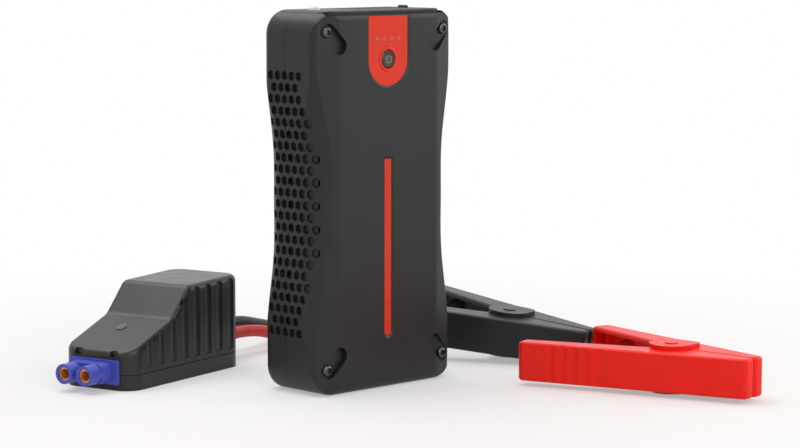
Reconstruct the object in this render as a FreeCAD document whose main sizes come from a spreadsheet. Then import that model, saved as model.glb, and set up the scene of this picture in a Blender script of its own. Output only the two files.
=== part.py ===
import FreeCAD, Part
import Sketcher

import math
import os
import re

Vector = FreeCAD.Vector
Rotation = FreeCAD.Rotation
Placement = FreeCAD.Placement

# Jump starter pack with its booster lead set. Millimetres and degrees.
# The origin is the middle of the pack's foot, +Z is up and the front face looks towards -Y.
SIZES = [
    # The pack's housing
    ("pack_wide", 89.0, "pack width"),
    ("pack_deep", 38.5, "pack depth"),
    ("pack_tall", 178.0, "pack height to the top of its cap"),
    ("pack_corner", 11.5, "corner radius of the pack's outline, seen from the front"),
    ("pack_edge", 4.5, "rounding of the long edges of the pack"),
    ("flat_half", 31.8, "half width of the flat front"),
    ("bevel_angle", 15.0, "angle of the bevels beside the flat front"),
    ("bevel_round", 9.0, "rounding between the flat front and its bevels"),
    ("waist_half", 42.7, "half width of the pack at its waist"),
    ("waist_grow", 4.9, "how much wider the waist form is at the pack's ends"),
    ("waist_round", 16.7, "corner radius of the waist form"),
    ("rear_round", 12.0, "corner radius of the waist form at the rear"),
    ("seam_back", 3.5, "distance of the shells' seam behind the middle"),
    ("waist_proud", 1.85, "how far the waist form reaches past the front plane"),
    ("waist_start", 18.0, "distance from mid height where the waist begins to widen"),
    ("waist_end", 66.0, "distance from mid height where the waist has blended out"),
    ("wall", 2.2, "wall of the pack's shells"),
    ("top_wall", 2.7, "wall under the cap"),
    ("room_half", 40.4, "half width inside the pack's shells"),
    ("room_flat", 30.0, "half width of the flat walls inside"),
    ("room_side", 12.5, "half depth inside, at the sides"),
    ("room_low", 3.0, "floor thickness of the pack"),
    ("cap_tall", 2.3, "thickness of the cap on top"),
    ("cap_wide", 76.0, "cap width"),
    ("cap_deep", 34.5, "cap depth"),
    ("cap_gap", 0.12, "gap between the cap and the rim round it"),
    ("cap_corner", 7.0, "cap corner radius"),
    # Front details
    ("screw_across", 37.3, "half distance across the housing screws"),
    ("screw_low", 12.2, "height of the lower housing screws"),
    ("screw_drop", 9.7, "distance of the upper housing screws below the top"),
    ("scoop_deep", 2.6, "depth of the screw scoops behind the front plane"),
    ("scoop_wide", 8.0, "width of a screw scoop"),
    ("scoop_long", 17.0, "length of a screw scoop"),
    ("scoop_wall", 1.4, "wall round and behind a screw scoop"),
    ("screw_head", 5.5, "diameter of a screw head"),
    ("screw_head_tall", 1.7, "height of a screw head"),
    ("screw_shank", 2.9, "diameter of a screw's shank"),
    ("screw_long", 26.0, "length of a screw's shank"),
    ("boss_wide", 6.6, "diameter of a screw boss"),
    ("panel_wide", 25.0, "width of the control panel"),
    ("panel_drop", 35.5, "distance of the control panel's lowest point below the top"),
    ("panel_margin", 2.8, "distance of the control panel's upper end below the top"),
    ("panel_thick", 1.4, "thickness of the control panel"),
    ("panel_sunk", 0.5, "how far the panel lies behind the front plane"),
    ("frame_gap", 1.1, "width of the bevel round the panel"),
    ("button_drop", 23.0, "distance of the power button below the top"),
    ("button_wide", 8.3, "diameter of the power button"),
    ("button_travel", 0.7, "travel of the power button"),
    ("ring_wide", 11.5, "outer diameter of the button ring"),
    ("led_drop", 13.5, "distance of the charge lights below the top"),
    ("led_pitch", 4.7, "distance between charge lights"),
    ("led_wide", 1.9, "diameter of a charge light"),
    ("stripe_wide", 4.3, "width of the accent stripe"),
    ("stripe_low", 25.0, "lowest point of the stripe"),
    ("stripe_drop", 69.5, "distance of the stripe's upper end below the top"),
    ("stripe_thick", 1.0, "thickness of the stripe"),
    ("stripe_sunk", 0.6, "how far the stripe lies behind the front plane"),
    # Top details
    ("torch_across", 29.0, "distance of the torch from the middle"),
    ("torch_wide", 5.2, "diameter of the torch lens"),
    ("torch_proud", 1.6, "how far the torch lens stands above the cap"),
    ("bay_left", 13.0, "left end of the port bay, from the middle"),
    ("bay_right", 27.0, "right end of the port bay, from the middle"),
    ("bay_deep", 21.0, "size of the port bay from front to back"),
    ("cover_gap", 0.3, "gap round moving and fitted pieces"),
    ("cover_thick", 1.6, "thickness of the port cover"),
    ("tab_wide", 4.7, "width of the port cover's pull tab"),
    ("tab_tall", 1.2, "how far the pull tab stands above the cap"),
    ("socket_high", 16.0, "depth of the output socket"),
    ("socket_across", 0.4, "middle of the output socket, across"),
    ("socket_wide", 24.4, "width of the output socket"),
    ("socket_deep", 14.4, "size of the output socket from front to back"),
    ("charge_across", 19.0, "middle of the charge port, across"),
    ("charge_wide", 7.6, "width of the charge port"),
    ("charge_long", 13.2, "length of the charge port"),
    ("fit", 0.2, "gap round a piece that sits in an opening"),
    ("pin_pitch", 12.0, "distance between the output pins, and the plug's barrels"),
    ("pin_wide", 4.9, "diameter of an output pin"),
    ("barrel_wide", 9.5, "outer diameter of a plug barrel"),
    ("well_wide", 10.1, "diameter of a socket well"),
    # Inside the pack
    ("cell_wide", 62.0, "width of a battery cell"),
    ("cell_room", 60.0, "height above the cells kept for the boards"),
    ("cell_thick", 7.6, "thickness of a battery cell"),
    ("cell_count", 3.0, "number of battery cells"),
    ("cell_low", 14.0, "height of the cells' lower end"),
    ("tray_wall", 1.6, "wall of the cell tray"),
    ("board_thick", 1.6, "thickness of a circuit board"),
    ("main_board_wide", 70.0, "width of the main board"),
    ("main_board_tall", 34.0, "height of the main board"),
    ("main_board_drop", 55.0, "distance of the main board's lower edge below the top"),
    ("board_back", 6.0, "distance of the main board's rear face behind the seam"),
    # Control box of the lead set, in its own frame
    ("box_long", 90.0, "control box length"),
    ("box_wide", 41.5, "control box width"),
    ("box_front", 18.0, "height of the control box's front edge"),
    ("deck_long", 33.0, "length of the low deck"),
    ("deck_high", 30.3, "height at the rear of the deck"),
    ("slope_end", 46.7, "where the slope behind the deck ends"),
    ("slope_high", 44.8, "height at the top of the slope"),
    ("box_tall", 46.0, "height of the control box's rear"),
    ("box_corner", 8.5, "rounding of the control box's upright edges"),
    ("box_edge", 3.0, "rounding of the control box's upper edges"),
    ("box_wall", 2.0, "wall of the control box"),
    ("box_seam", 7.4, "height of the seam between the control box's halves"),
    ("box_x", -96.2, "control box corner, across"),
    ("box_y", 54.1, "control box corner, back"),
    ("box_turn", 14.0, "turn of the control box"),
    ("flute_count", 8.0, "flutes on each side of the control box"),
    ("flute_pitch", 9.3, "distance between flutes"),
    ("flute_first", 14.9, "distance of the first flute from the front"),
    ("flute_round", 5.0, "radius of a flute"),
    ("flute_deep", 0.7, "depth of a flute"),
    ("lamp_wide", 5.4, "diameter of the box's indicator lens"),
    ("lamp_along", 22.0, "distance of the indicator lens from the box's front"),
    ("lamp_across", 22.5, "distance of the indicator lens from the box's side"),
    ("notch_across", 10.4, "distance of the front notches from the box's middle line"),
    ("notch_wide", 4.0, "width of a front notch"),
    ("catch_at", 38.5, "where the notches at the slope's edges begin"),
    ("catch_long", 3.6, "length of a notch at the slope's edge"),
    ("catch_high", 36.2, "height of a slope notch's floor"),
    ("plug_reach", 16.5, "how far the plug stands in front of the box"),
    ("plug_high", 8.7, "height of the plug's middle"),
    ("plug_side", 20.75, "the plug's middle, across the control box"),
    ("flange_thick", 2.0, "thickness of the plug's flange"),
    ("contact_bore", 5.0, "bore of a plug contact"),
    ("contact_wide", 6.4, "outer diameter of a plug contact"),
    ("gland_long", 12.0, "length of a lead gland"),
    ("gland_wide", 9.0, "diameter of a lead gland at the box"),
    ("lead_wide", 6.0, "diameter of a lead"),
    ("lead_straight", 18.0, "length of a lead's first and last straight run"),
    ("boot_back", 16.0, "distance of a lead's boot from the end of the handle"),
    ("boot_lean", 35.0, "angle between a lead and its handle"),
    ("boot_long", 7.0, "length of a boot outside the handle"),
    ("boot_wall", 1.4, "thickness of a boot round its lead"),
    ("pin_head_tall", 0.4, "height of a pivot pin's heads"),
    # Clamps, in their own frame
    ("clamp_long", 113.5, "length of a clamp's outer face"),
    ("clamp_angle", 14.77, "angle from the clamp's middle line to its outer face"),
    ("tip_ahead", 46.3, "distance from the pivot to the jaw tips"),
    ("tip_half", 7.25, "half thickness at the jaw tips"),
    ("clamp_tall", 18.6, "height of a clamp half"),
    ("clamp_wall", 2.3, "wall of a clamp half"),
    ("tip_round", 2.2, "rounding of the jaw tips' inner corners"),
    ("clamp_round", 1.5, "rounding of a clamp's edges"),
    ("clamp_rim", 3.0, "how far from the closing line the rounded edges begin"),
    ("grip_count", 4.0, "narrow finger grooves on a handle"),
    ("grip_first", 17.0, "distance of the first groove from the handle's end"),
    ("grip_pitch", 5.8, "distance between finger grooves"),
    ("grip_round", 6.0, "radius of a finger groove"),
    ("grip_deep", 0.45, "depth of a finger groove"),
    ("grip_grow", 2.4, "how much rounder the last groove is"),
    ("handle_thick", 10.0, "thickness of a handle at its end"),
    ("jaw_gap", 0.3, "gap between the closed jaws"),
    ("lug_round", 7.5, "radius of the pivot lugs"),
    ("ear_round", 10.4, "radius of the pivot ears"),
    ("ear_tail", 11.0, "how far a pivot ear runs onto its half"),
    ("ear_corner", 4.0, "corner radius of a pivot ear"),
    ("ear_thick", 2.0, "thickness of a pivot ear"),
    ("pivot_wide", 4.0, "diameter of a pivot pin"),
    ("pivot_play", 0.06, "radial play of a pivot pin"),
    ("wire_wide", 1.6, "diameter of the spring wire"),
    ("wire_sides", 12.0, "flats round the spring wire"),
    ("coil_round", 4.6, "radius of the spring's coil"),
    ("coil_turns", 3.0, "full turns of the spring"),
    ("leg_angle", 34.0, "angle of a spring leg from the clamp's middle line"),
    ("coil_pitch", 2.2, "rise of the spring in one turn"),
    ("spring_leg", 33.0, "length of a spring leg"),
    ("plate_thick", 1.2, "thickness of a jaw plate"),
    ("red_x", 88.6, "red clamp's pivot, across"),
    ("red_y", -118.0, "red clamp's pivot, back"),
    ("red_turn", -85.3, "heading of the red clamp's jaws"),
    ("black_x", 99.6, "black clamp's pivot, across"),
    ("black_y", -2.3, "black clamp's pivot, back"),
    ("black_turn", -75.9, "heading of the black clamp's jaws"),
    ("black_pitch", 5.9, "how far the black clamp's handles are raised"),
]

# Sizes that follow from others
DERIVED = [
    ("screw_high", "pack_tall - screw_drop", "height of the upper housing screws"),
    ("panel_low", "pack_tall - panel_drop", "lowest point of the control panel"),
    ("panel_high", "pack_tall - panel_margin", "upper end of the control panel"),
    ("button_high", "pack_tall - button_drop", "height of the power button"),
    ("led_high", "pack_tall - led_drop", "height of the charge lights"),
    ("stripe_high", "pack_tall - stripe_drop", "upper end of the stripe"),
    ("cell_tall", "pack_tall - cell_low - cell_room", "height of a battery cell"),
    ("main_board_low", "pack_tall - main_board_drop", "height of the main board's lower edge"),
]

doc = FreeCAD.newDocument("jump_starter")
sheet = doc.addObject("Spreadsheet::Sheet", "Sizes")
NAMES = [row[0] for row in SIZES + DERIVED]
NODES = []


def fill_sheet():
    """Write each driving size as a plain number, then the formulas, each with its alias and a note."""
    for row, (alias, value, note) in enumerate(SIZES + DERIVED, start=1):
        sheet.set(f"A{row}", str(value) if isinstance(value, float) else "=" + value)
        sheet.setAlias(f"A{row}", alias)
        sheet.set(f"B{row}", note)
    doc.recompute()


def size(name):
    """The value of one driving size."""
    return float(getattr(sheet, name))


def linked(text):
    """Turn a formula on size names into one that reads the sheet."""
    def swap(match):
        word = match.group()
        return "Sizes." + word if word in NAMES else word
    return re.sub(r"[a-z][a-z_]*", swap, text)


def bind(piece, path, text):
    piece.setExpression(path, linked(text))


def place(piece, x="0", y="0", z="0", turn=None):
    """Put a piece where the formulas say, with an optional turn."""
    if turn is not None:
        piece.Placement = Placement(Vector(0, 0, 0), turn)
    bind(piece, "Placement.Base.x", x)
    bind(piece, "Placement.Base.y", y)
    bind(piece, "Placement.Base.z", z)
    return piece


def block(name, x, y, z):
    """A box between pairs of formulas, one pair for each axis."""
    piece = doc.addObject("Part::Box", name)
    bind(piece, "Length", f"({x[1]}) - ({x[0]})")
    bind(piece, "Width", f"({y[1]}) - ({y[0]})")
    bind(piece, "Height", f"({z[1]}) - ({z[0]})")
    return place(piece, x[0], y[0], z[0])


ALONG_Y = Rotation(Vector(1, 0, 0), -90)
UPRIGHT = Rotation()


def rod(name, radius, length, x="0", y="0", z="0", turn=UPRIGHT):
    """A cylinder that starts at the given point and runs along its turned axis."""
    piece = doc.addObject("Part::Cylinder", name)
    bind(piece, "Radius", radius)
    bind(piece, "Height", length)
    return place(piece, x, y, z, turn)


def fuse(name, pieces):
    piece = doc.addObject("Part::MultiFuse", name)
    piece.Shapes = pieces
    piece.Refine = True
    return piece


def cut(name, base, tools):
    """The base with each tool taken away."""
    piece = doc.addObject("Part::Cut", name)
    piece.Base = base
    piece.Tool = tools[0] if len(tools) == 1 else fuse(name + "_tools", tools)
    piece.Refine = True
    return piece


def common(name, pieces):
    piece = doc.addObject("Part::MultiCommon", name)
    piece.Shapes = pieces
    return piece


def shape_of(name, shape, where=None):
    """A piece whose shape comes from code that reads the sheet."""
    piece = doc.addObject("Part::Feature", name)
    piece.Shape = shape
    if where is not None:
        piece.Placement = where
    return piece


def node(piece, label):
    """Name a finished sub-part; its label names its file."""
    piece.Label = label
    NODES.append(piece)
    return piece


def number(text):
    """The present value of a formula."""
    return float(sheet.evalExpression(linked(text)))


def new_body(name):
    return doc.addObject("PartDesign::Body", name)


def new_sketch(body, role):
    """A sketch on one of the body's own origin planes."""
    sketch = body.newObject("Sketcher::SketchObject", body.Name + "_sketch")
    plane = [f for f in body.Origin.OriginFeatures if f.Role == role][0]
    sketch.AttachmentSupport = (plane, [""])
    sketch.MapMode = "FlatFace"
    return sketch


def outline(sketch, points):
    """Close a polygon whose corners are pairs of formulas measured from the sketch's origin."""
    spots = [Vector(number(x), number(y), 0) for x, y in points]
    count = len(spots)
    for at in range(count):
        sketch.addGeometry(Part.LineSegment(spots[at], spots[(at + 1) % count]), False)
    for at in range(count):
        after = (at + 1) % count
        sketch.addConstraint(Sketcher.Constraint("Coincident", at, 2, after, 1))
    for at, (x, y) in enumerate(points):
        across = sketch.addConstraint(Sketcher.Constraint("DistanceX", -1, 1, at, 1, spots[at].x))
        sketch.setExpression(f"Constraints[{across}]", linked(x))
        along = sketch.addConstraint(Sketcher.Constraint("DistanceY", -1, 1, at, 1, spots[at].y))
        sketch.setExpression(f"Constraints[{along}]", linked(y))


def padded(name, role, draw, length, centred=False, flip=False):
    """A body with one pad."""
    body = new_body(name)
    sketch = new_sketch(body, role)
    draw(sketch)
    pad = body.newObject("PartDesign::Pad", name + "_pad")
    pad.Profile = sketch
    bind(pad, "Length", length)
    pad.Midplane = centred
    pad.Reversed = flip
    return body, pad


def turned(name, points):
    """A body turned about its own Z axis from half an outline in its XZ plane."""
    body = new_body(name)
    sketch = new_sketch(body, "XZ_Plane")
    outline(sketch, points)
    spin = body.newObject("PartDesign::Revolution", name + "_turn")
    spin.Profile = sketch
    spin.ReferenceAxis = (sketch, ["V_Axis"])
    spin.Angle = 360.0
    return body


def soften(body, feature, name, radius, wanted):
    """Round the edges of a body's last feature that the test picks."""
    doc.recompute()
    edges = [f"Edge{at}" for at, edge in enumerate(feature.Shape.Edges, start=1) if wanted(edge)]
    fillet = body.newObject("PartDesign::Fillet", name)
    fillet.Base = (feature, edges)
    bind(fillet, "Radius", radius)
    return fillet


def plate(name, role, wide, tall, thick):
    """A plain rectangular plate centred on its sketch plane's origin."""
    points = [(f"-({wide}) / 2", f"-({tall}) / 2"), (f"({wide}) / 2", f"-({tall}) / 2"),
              (f"({wide}) / 2", f"({tall}) / 2"), (f"-({wide}) / 2", f"({tall}) / 2")]
    return padded(name, role, lambda sketch: outline(sketch, points), thick)


def loop(corners, radii, spot):
    """A closed wire through corners given in a plane, each rounded by its radius."""
    count = len(corners)
    edges = []
    starts = []
    ends = []
    for at in range(count):
        here = Vector(*corners[at], 0)
        before = (Vector(*corners[at - 1], 0) - here).normalize()
        after = (Vector(*corners[(at + 1) % count], 0) - here).normalize()
        if radii[at] <= 0:
            starts.append(here)
            ends.append(here)
            continue
        half = before.getAngle(after) / 2
        reach = radii[at] / math.tan(half)
        starts.append(here + before * reach)
        ends.append(here + after * reach)
    for at in range(count):
        if radii[at] > 0:
            here = Vector(*corners[at], 0)
            inward = (starts[at] + ends[at]) * 0.5 - here
            half = (starts[at] - here).getAngle(ends[at] - here) / 2
            middle = here + inward.normalize() * (radii[at] / math.sin(half) - radii[at])
            arc = Part.Arc(spot(starts[at].x, starts[at].y), spot(middle.x, middle.y),
                           spot(ends[at].x, ends[at].y))
            edges.append(arc.toShape())
        after = (at + 1) % count
        if ends[at].distanceToPoint(starts[after]) > 1e-6:
            edges.append(Part.makeLine(spot(ends[at].x, ends[at].y),
                                       spot(starts[after].x, starts[after].y)))
    return Part.Wire(edges)


def prism(corners, radii, low, high):
    """An upright solid over a rounded outline in plan."""
    face = Part.Face(loop(corners, radii, lambda x, y: Vector(x, y, low)))
    return face.extrude(Vector(0, 0, high - low))


def rectangle(half_x, half_y):
    return [(-half_x, -half_y), (half_x, -half_y), (half_x, half_y), (-half_x, half_y)]


def waist_width(off_middle):
    """Half width of the waist form at a distance from mid height."""
    along = (abs(off_middle) - size("waist_start")) / (size("waist_end") - size("waist_start"))
    along = min(max(along, 0.0), 1.0)
    return size("waist_half") + size("waist_grow") * along * along * (3 - 2 * along)


def pack_form(inset):
    """The pack's outer form, drawn in by an inset: outline slab, bevelled bar and waist form in common."""
    half_wide = size("pack_wide") / 2 - inset
    half_deep = size("pack_deep") / 2 - inset
    tall = size("pack_tall")
    edge = max(size("pack_edge") - inset, 0.8)
    corner = size("pack_corner") - inset
    middle = tall / 2
    front = rectangle(half_wide, tall / 2 - inset)
    wire = loop(front, [corner] * 4, lambda x, z: Vector(x, -half_deep, z + middle))
    slab = Part.Face(wire).extrude(Vector(0, 2 * half_deep, 0))
    flat_edges = [e for e in slab.Edges if e.BoundBox.YLength < 1e-6]
    rim = [e for e in flat_edges if abs(abs(e.BoundBox.YMin) - half_deep) < 1e-6]
    slab = slab.makeFillet(edge, rim)
    flat = size("flat_half")
    fall = (half_wide - flat) * math.tan(math.radians(size("bevel_angle")))
    side = half_deep - fall
    plan = [(-flat, -half_deep), (flat, -half_deep), (half_wide, -side), (half_wide, half_deep),
            (-half_wide, half_deep), (-half_wide, -side)]
    soft = size("bevel_round")
    bar = prism(plan, [soft, soft, edge, edge, edge, edge], -5.0, tall + 5.0)
    half_y = size("pack_deep") / 2 + size("waist_proud") - inset
    front_round = size("waist_round") - inset
    rear_round = size("rear_round") - inset
    levels = [-96, -66, -50, -38, -24, 0, 24, 38, 50, 66, 96]
    wires = []
    for level in levels:
        half_x = waist_width(level * tall / 178.0) - inset
        height = middle + level * tall / 178.0
        wires.append(loop(rectangle(half_x, half_y), [front_round, front_round, rear_round, rear_round],
                          lambda x, y, z=height: Vector(x, y, z)))
    waist = Part.makeLoft(wires, True, False)
    return slab.common(bar).common(waist)


def pack_room():
    """The hollow inside the shells, with flat walls."""
    deep = size("pack_deep") / 2 - size("wall")
    half = size("room_half")
    side = size("room_side")
    flat = size("room_flat")
    plan = [(-flat, -deep), (flat, -deep), (half, -side), (half, side),
            (flat, deep), (-flat, deep), (-half, side), (-half, -side)]
    bar = prism(plan, [0.0] * 8, size("room_low"), size("pack_tall"))
    corner = size("pack_corner") - size("wall")
    high = size("pack_tall") - size("cap_tall") - size("top_wall")
    middle = (size("room_low") + high) / 2
    front = rectangle(half, (high - size("room_low")) / 2)
    wire = loop(front, [corner] * 4, lambda x, z: Vector(x, -deep, z + middle))
    return bar.common(Part.Face(wire).extrude(Vector(0, 2 * deep, 0)))


def pack_shells():
    """Front and rear shells: the halved form, hollowed, with bosses, recesses and openings."""
    wall = size("wall")
    form = shape_of("pack_solid", pack_form(0.0))
    hollow = shape_of("pack_hollow", pack_room())
    half = "pack_wide / 2 + 5"
    ends = ("-5", "pack_tall + 5")
    inner = common("pack_room", [hollow, block("pack_room_limit", (f"-({half})", half),
                                               ("-pack_deep", "pack_deep"),
                                               ("room_low", "pack_tall - cap_tall - top_wall"))])
    front_screws = []
    rear_bosses = []
    front_bosses = []
    pilots = []
    scoops = []
    backings = []
    for side in (-1, 1):
        for level in ("screw_low", "screw_high"):
            tag = f"{'left' if side < 0 else 'right'}_{level}"
            x = f"{side} * screw_across"
            front_bosses.append(rod("front_boss_" + tag, "boss_wide / 2",
                                    "pack_deep / 2 - scoop_deep - 0.5 + seam_back", x,
                                    "-pack_deep / 2 + scoop_deep + 0.5", level, ALONG_Y))
            rear_bosses.append(rod("rear_boss_" + tag, "boss_wide / 2",
                                   "pack_deep / 2 - wall / 2 - seam_back",
                                   x, "seam_back", level, ALONG_Y))
            front_screws.append(rod("screw_bore_" + tag, "screw_shank / 2 + 0.15",
                                    "pack_deep / 2 + 1 + seam_back",
                                    x, "-pack_deep / 2 - 1", level, ALONG_Y))
            pilots.append(rod("screw_pilot_" + tag, "screw_shank / 2 + 0.05",
                              "pack_deep / 2 - 4 - seam_back",
                              x, "seam_back - 0.5", level, ALONG_Y))
            slant = 45 if (side < 0) == (level == "screw_high") else -45
            scoops.append(scoop("scoop_" + tag, side, level, slant, 0.0))
            backings.append(scoop("scoop_back_" + tag, side, level, slant, size("scoop_wall")))
    front_solid = common("front_half", [form, block("front_limit", (f"-({half})", half),
                                                    ("-pack_deep", "seam_back"), ends)])
    rear_solid = common("rear_half", [form, block("rear_limit", (f"-({half})", half),
                                                  ("seam_back", "pack_deep"), ends)])
    front_rest = block("front_ledge", ("-20", "20"), ("-pack_deep / 2 + 1", "seam_back - 0.2"),
                       ("wall - 0.5", "cell_low - 2 - tray_wall"))
    front_core = cut("front_core", front_solid, [inner])
    front_set = common("front_bosses", [fuse("front_boss_set", front_bosses + backings), front_solid])
    front_mass = fuse("front_mass", [front_core, front_rest, front_set])
    panel_room = panel_recess()
    stripe_room = stripe_recess()
    tools = front_screws + scoops + [panel_room, stripe_room, top_opening("front"), torch_opening("front"),
                                     cap_seat("front")]
    tools.append(rod("button_window", "button_wide / 2 + 0.6", "6", "0", "-pack_deep / 2 - 1",
                     "button_high", ALONG_Y))
    for at in range(4):
        tools.append(rod(f"led_window_{at}", "led_wide / 2 + 0.3", "6", f"({at} - 1.5) * led_pitch",
                         "-pack_deep / 2 - 1", "led_high", ALONG_Y))
    front = cut("front_shell_body", front_mass, tools)
    rear_core = cut("rear_core", rear_solid, [inner])
    rear_rest = block("rear_ledge", ("-20", "20"), ("seam_back + 0.2", "pack_deep / 2 - 1"),
                      ("wall - 0.5", "cell_low - 2 - tray_wall"))
    for side in (-1, 1):
        for share in ("5", "main_board_tall - 5"):
            tag = f"{'left' if side < 0 else 'right'}_{'low' if share == '5' else 'high'}"
            rear_bosses.append(rod("board_post_" + tag, "2.5", "pack_deep / 2 - 1 - board_back",
                                   f"{side} * (main_board_wide / 2 - 5)", "board_back",
                                   f"main_board_low + {share}", ALONG_Y))
    rear_set = common("rear_bosses", [fuse("rear_boss_set", rear_bosses), rear_solid])
    rear_mass = fuse("rear_mass", [rear_core, rear_rest, rear_set])
    rear = cut("rear_shell_body", rear_mass,
               pilots + [top_opening("rear"), torch_opening("rear"), cap_seat("rear")])
    node(front, "front_shell")
    node(rear, "rear_shell")


def scoop(name, side, level, slant, grown):
    """A round-ended block that runs from a screw towards the middle of the face."""
    turn = Rotation(Vector(0, 1, 0), slant)
    run = size("scoop_long") - size("scoop_wide")
    half_wide = size("scoop_wide") / 2 + grown
    face = loop(rectangle(size("scoop_long") / 2 + grown, half_wide), [half_wide - 0.001] * 4,
                lambda x, z: Vector(x, 0, z))
    above = 3.0
    solid = Part.Face(face).extrude(Vector(0, size("scoop_deep") + above + grown, 0))
    inward = Vector(-side, 0, 1 if level == "screw_low" else -1).normalize()
    screw = Vector(side * size("screw_across"), -size("pack_deep") / 2 - above, size(level))
    return shape_of(name, solid, Placement(screw + inward * (run / 2), turn))


def tongue(name, wide, low, high, front, back):
    """A strip with a half-round lower end, in the plane of the front face."""
    half = wide / 2
    left = Vector(-half, front, high)
    right = Vector(half, front, high)
    low_left = Vector(-half, front, low + half)
    low_right = Vector(half, front, low + half)
    edges = [Part.makeLine(left, low_left),
             Part.Arc(low_left, Vector(0, front, low), low_right).toShape(),
             Part.makeLine(low_right, right), Part.makeLine(right, left)]
    return Part.Face(Part.Wire(edges)).extrude(Vector(0, back - front, 0))


def panel_recess():
    """The seat of the control panel and the bevel round it."""
    plane = -size("pack_deep") / 2
    gap = 0.1
    seat_back = plane + size("panel_sunk") + size("panel_thick")
    seat = tongue("seat", size("panel_wide") + 2 * gap, size("panel_low") - gap, size("panel_high") + gap,
                  plane - 2.0, seat_back)
    bevel = size("frame_gap")
    outer = tongue_wire(size("panel_wide") + 2 * bevel, size("panel_low") - bevel, size("panel_high") + 0.4,
                        plane - 0.01)
    inner = tongue_wire(size("panel_wide") + 2 * gap, size("panel_low") - gap, size("panel_high") + gap,
                        plane + size("panel_sunk"))
    chamfer = Part.makeLoft([outer, inner], True, True)
    return shape_of("panel_room", seat.fuse(chamfer))


def tongue_wire(wide, low, high, level):
    half = wide / 2
    points = [Vector(-half, level, high), Vector(-half, level, low + half), Vector(0, level, low),
              Vector(half, level, low + half), Vector(half, level, high)]
    return Part.Wire([Part.makeLine(points[0], points[1]),
                      Part.Arc(points[1], points[2], points[3]).toShape(),
                      Part.makeLine(points[3], points[4]), Part.makeLine(points[4], points[0])])


def stripe_recess():
    """The groove that holds the accent stripe."""
    plane = -size("pack_deep") / 2
    gap = 0.1
    back = plane + size("stripe_sunk") + size("stripe_thick")
    seat = tongue("groove", size("stripe_wide") + 2 * gap, size("stripe_low") - gap,
                  size("stripe_high") + gap,
                  plane - 2.0, back)
    rim = 0.8
    outer = tongue_wire(size("stripe_wide") + 2 * rim, size("stripe_low") - 2 * rim,
                        size("stripe_high") + rim,
                        plane - 0.01)
    inner = tongue_wire(size("stripe_wide") + 2 * gap, size("stripe_low") - gap, size("stripe_high") + gap,
                        plane + size("stripe_sunk"))
    return shape_of("stripe_room", seat.fuse(Part.makeLoft([outer, inner], True, True)))


def top_opening(tag):
    """The openings in the shells' top wall that the output socket and the charge port stand in."""
    height = ("pack_tall - cap_tall - top_wall - 1", "pack_tall")
    output = block("output_opening_" + tag,
                   ("socket_across - socket_wide / 2 - fit", "socket_across + socket_wide / 2 + fit"),
                   ("-socket_deep / 2 - fit", "socket_deep / 2 + fit"), height)
    charge = block("charge_opening_" + tag,
                   ("charge_across - charge_wide / 2 - fit", "charge_across + charge_wide / 2 + fit"),
                   ("-charge_long / 2 - fit", "charge_long / 2 + fit"), height)
    return fuse("port_openings_" + tag, [output, charge])


def torch_opening(tag):
    return rod("torch_opening_" + tag, "torch_wide / 2 + 1.2", "20", "-torch_across", "0", "pack_tall - 15")


def front_trim():
    """Control panel, button ring, charge lights, power button and stripe."""
    plane = -size("pack_deep") / 2
    sunk = plane + size("panel_sunk")
    panel = tongue("panel", size("panel_wide"), size("panel_low"), size("panel_high"), sunk,
                   sunk + size("panel_thick") - 0.05)
    panel = shape_of("panel_blank", panel)
    windows = [rod("panel_button_hole", "ring_wide / 2 + 0.05", "6", "0", "-pack_deep / 2 - 1",
                   "button_high", ALONG_Y)]
    for at in range(4):
        windows.append(rod(f"panel_led_hole_{at}", "led_wide / 2 + 0.05", "6", f"({at} - 1.5) * led_pitch",
                           "-pack_deep / 2 - 1", "led_high", ALONG_Y))
    node(cut("control_panel_body", panel, windows), "control_panel")
    ring = turned("button_ring_body", [("button_wide / 2 + 0.2", "0"), ("ring_wide / 2", "0"),
                                       ("ring_wide / 2", "panel_thick + 0.25"),
                                       ("ring_wide / 2 - 0.5", "panel_thick + 0.45"),
                                       ("button_wide / 2 + 0.6", "panel_thick + 0.45"),
                                       ("button_wide / 2 + 0.2", "panel_thick + 0.1")])
    place(ring, "0", "-pack_deep / 2 + panel_sunk + panel_thick", "button_high",
          Rotation(Vector(1, 0, 0), 90))
    node(ring, "button_ring")
    button = turned("power_button_body",
                    [("0", "0"), ("button_wide / 2 - 1.2", "0"), ("button_wide / 2 - 1.2", "1.5"),
                                          ("button_wide / 2", "1.5"), ("button_wide / 2", "4.4"),
                                          ("button_wide / 2 - 0.5", "4.8"), ("0", "4.6")])
    place(button, "0", "-pack_deep / 2 + 4.9", "button_high", Rotation(Vector(1, 0, 0), 90))
    node(button, "power_button")
    lights = []
    for at in range(4):
        lights.append(rod(f"charge_light_{at}", "led_wide / 2", "panel_thick + 1.2",
                          f"({at} - 1.5) * led_pitch",
                          "-pack_deep / 2 + panel_sunk", "led_high", ALONG_Y))
    node(fuse("charge_light_set", lights), "charge_lights")
    stripe = tongue("stripe", size("stripe_wide"), size("stripe_low"), size("stripe_high"),
                    plane + size("stripe_sunk"), plane + size("stripe_sunk") + size("stripe_thick") - 0.05)
    node(shape_of("accent_stripe_body", stripe), "accent_stripe")


def screw_shape(head, head_tall, shank, length):
    """A screw along +Y with its head's underside at the origin."""
    top = Part.makeCylinder(head / 2, head_tall, Vector(0, -head_tall, 0), Vector(0, 1, 0))
    stem = Part.makeCylinder(shank / 2, length, Vector(0, 0, 0), Vector(0, 1, 0))
    return top.fuse(stem).removeSplitter()


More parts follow.
